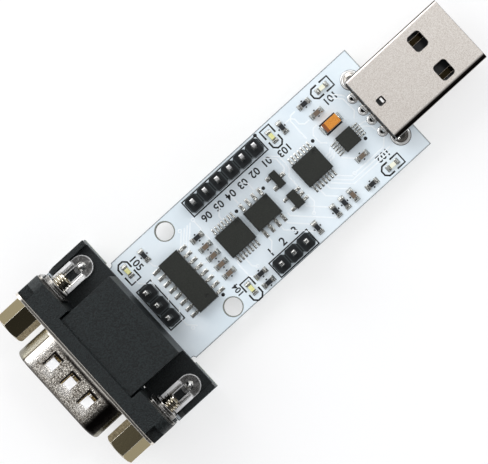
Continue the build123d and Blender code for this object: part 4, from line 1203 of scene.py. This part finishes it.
# %% Cut the threads and join all
tooth = [(0.0, 1.08), (0.07, 1.1), (0.2, 1.4), (0.3, 1.4), (0.43, 1.1), (0.5, 1.08)]
groove = [(0.0, 1.43), (0.1, 1.43), (0.22, 1.2), (0.28, 1.2), (0.4, 1.43), (0.5, 1.43)]
jack_bits = [jacks]
for low, high in loose_boxes("jack_screws"):
    centre = (low + high) / 2
    stud = thread("stud_thread", tooth, thread_start - 1.4, centre, 9)
    cut_square(stud, screws_high[0] / mm, True)
    cut_square(stud, thread_start, False)
    bore = thread("bore_thread", groove, screws_low[0] / mm + 0.2, centre, 7)
    jack_bits += [stud, bore]
select_only(*jack_bits)
bpy.ops.object.join()
keep_piece(jacks, "threaded_jack_screws", jack_nickel, 14)
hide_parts("jack_screws")
print("jack screws with", len(jacks.data.polygons), "faces")

# %% [markdown]
# ## Floor, lamps and world
#
# Small shiny parts show what stands around them. The studio is dark straight above, where the camera hangs,
# bright all along the +Y side, and dark again on the -Y side, so flat metal that faces the camera goes deep
# while everything that rolls away to +Y lights up. A picture of a room could do this, but two ramps over
# the sky are easier to move. The floor is white paper, and metal sees it as white.

# %% White floor that keeps its shadow
bpy.ops.object.select_all(action="DESELECT")
bpy.ops.mesh.primitive_plane_add(size=2.0, location=(0, 0, 0))
floor = bpy.context.object
floor.name = "studio_floor"
paper = new_material("white_paper", "#f4f4f4", 0.9)
paper_rays = add_node(paper, "ShaderNodeLightPath").outputs
seen = paper_rays["Is Camera Ray"]
for ray in ("Is Glossy Ray", "Is Transmission Ray"):
    seen = add_node(paper, "ShaderNodeMath", {0: seen, 1: paper_rays[ray]}, operation="MAXIMUM").outputs[0]
half_seen = add_node(paper, "ShaderNodeMath", {0: seen, 1: 0.5}, operation="MULTIPLY").outputs[0]
glow = add_node(paper, "ShaderNodeEmission", {"Color": linear("#ffffff"), "Strength": 1.08}).outputs[0]
mix = {"Fac": half_seen, 1: surface_of(paper).outputs[0], 2: glow}
paper_mix = add_node(paper, "ShaderNodeMixShader", mix)
paper.node_tree.links.new(paper_mix.outputs[0], paper.node_tree.nodes["Material Output"].inputs["Surface"])
floor.data.materials.append(paper)
print("floor of", round(floor.dimensions.x, 1), "m")

# %% Lamps
lamps = {
    "long_softbox": ((-0.12, 0.62, 0.42), 0.55, 2.4),
    "plug_side_card": ((0.3, 0.02, 0.66), 0.16, 0.42),
}
for name, (place, size, power) in lamps.items():
    lamp_data = bpy.data.lights.new(name, "AREA")
    lamp_data.shape = "SQUARE"
    lamp_data.size = size
    lamp_data.energy = power
    lamp = bpy.data.objects.new(name, lamp_data)
    lamp.location = place
    lamp.rotation_euler = (-Vector(place)).to_track_quat("-Z", "Y").to_euler()
    bpy.context.scene.collection.objects.link(lamp)
    print(name, "of", power, "watts,", round(Vector(place).length, 2), "m away")

# %% Studio around the object
world = bpy.data.worlds.new("studio")
world.use_nodes = True
bpy.context.scene.world = world
sky = world.node_tree.nodes["Background"]
look = add_node(world, "ShaderNodeTexCoord")
look_axes = add_node(world, "ShaderNodeSeparateXYZ", {"Vector": look.outputs["Generated"]})
side_range = {"Value": look_axes.outputs["Y"], 1: -0.25, 2: 0.45, 3: 0.12, 4: 1.3}
ceiling_range = {"Value": look_axes.outputs["Z"], 1: 0.88, 2: 0.975, 3: 1.0, 4: 0.14}
side_light, ceiling = (
    add_node(world, "ShaderNodeMapRange", limits, interpolation_type="SMOOTHSTEP").outputs[0]
    for limits in (side_range, ceiling_range)
)
mirrored = add_node(world, "ShaderNodeMath", {0: side_light, 1: ceiling}, operation="MULTIPLY").outputs[0]
matt_level = 0.8  # even light for what isn't a mirror
matt_rays = add_node(world, "ShaderNodeLightPath").outputs["Is Diffuse Ray"]
strength = add_node(world, "ShaderNodeMix", {0: matt_rays, 2: mirrored, 3: matt_level})
world.node_tree.links.new(strength.outputs[0], sky.inputs["Strength"])
sky.inputs["Color"].default_value = linear("#fbfcff")
bpy.context.scene.view_settings.view_transform = "Standard"
print("world", world.name, "gives matt surfaces", matt_level)
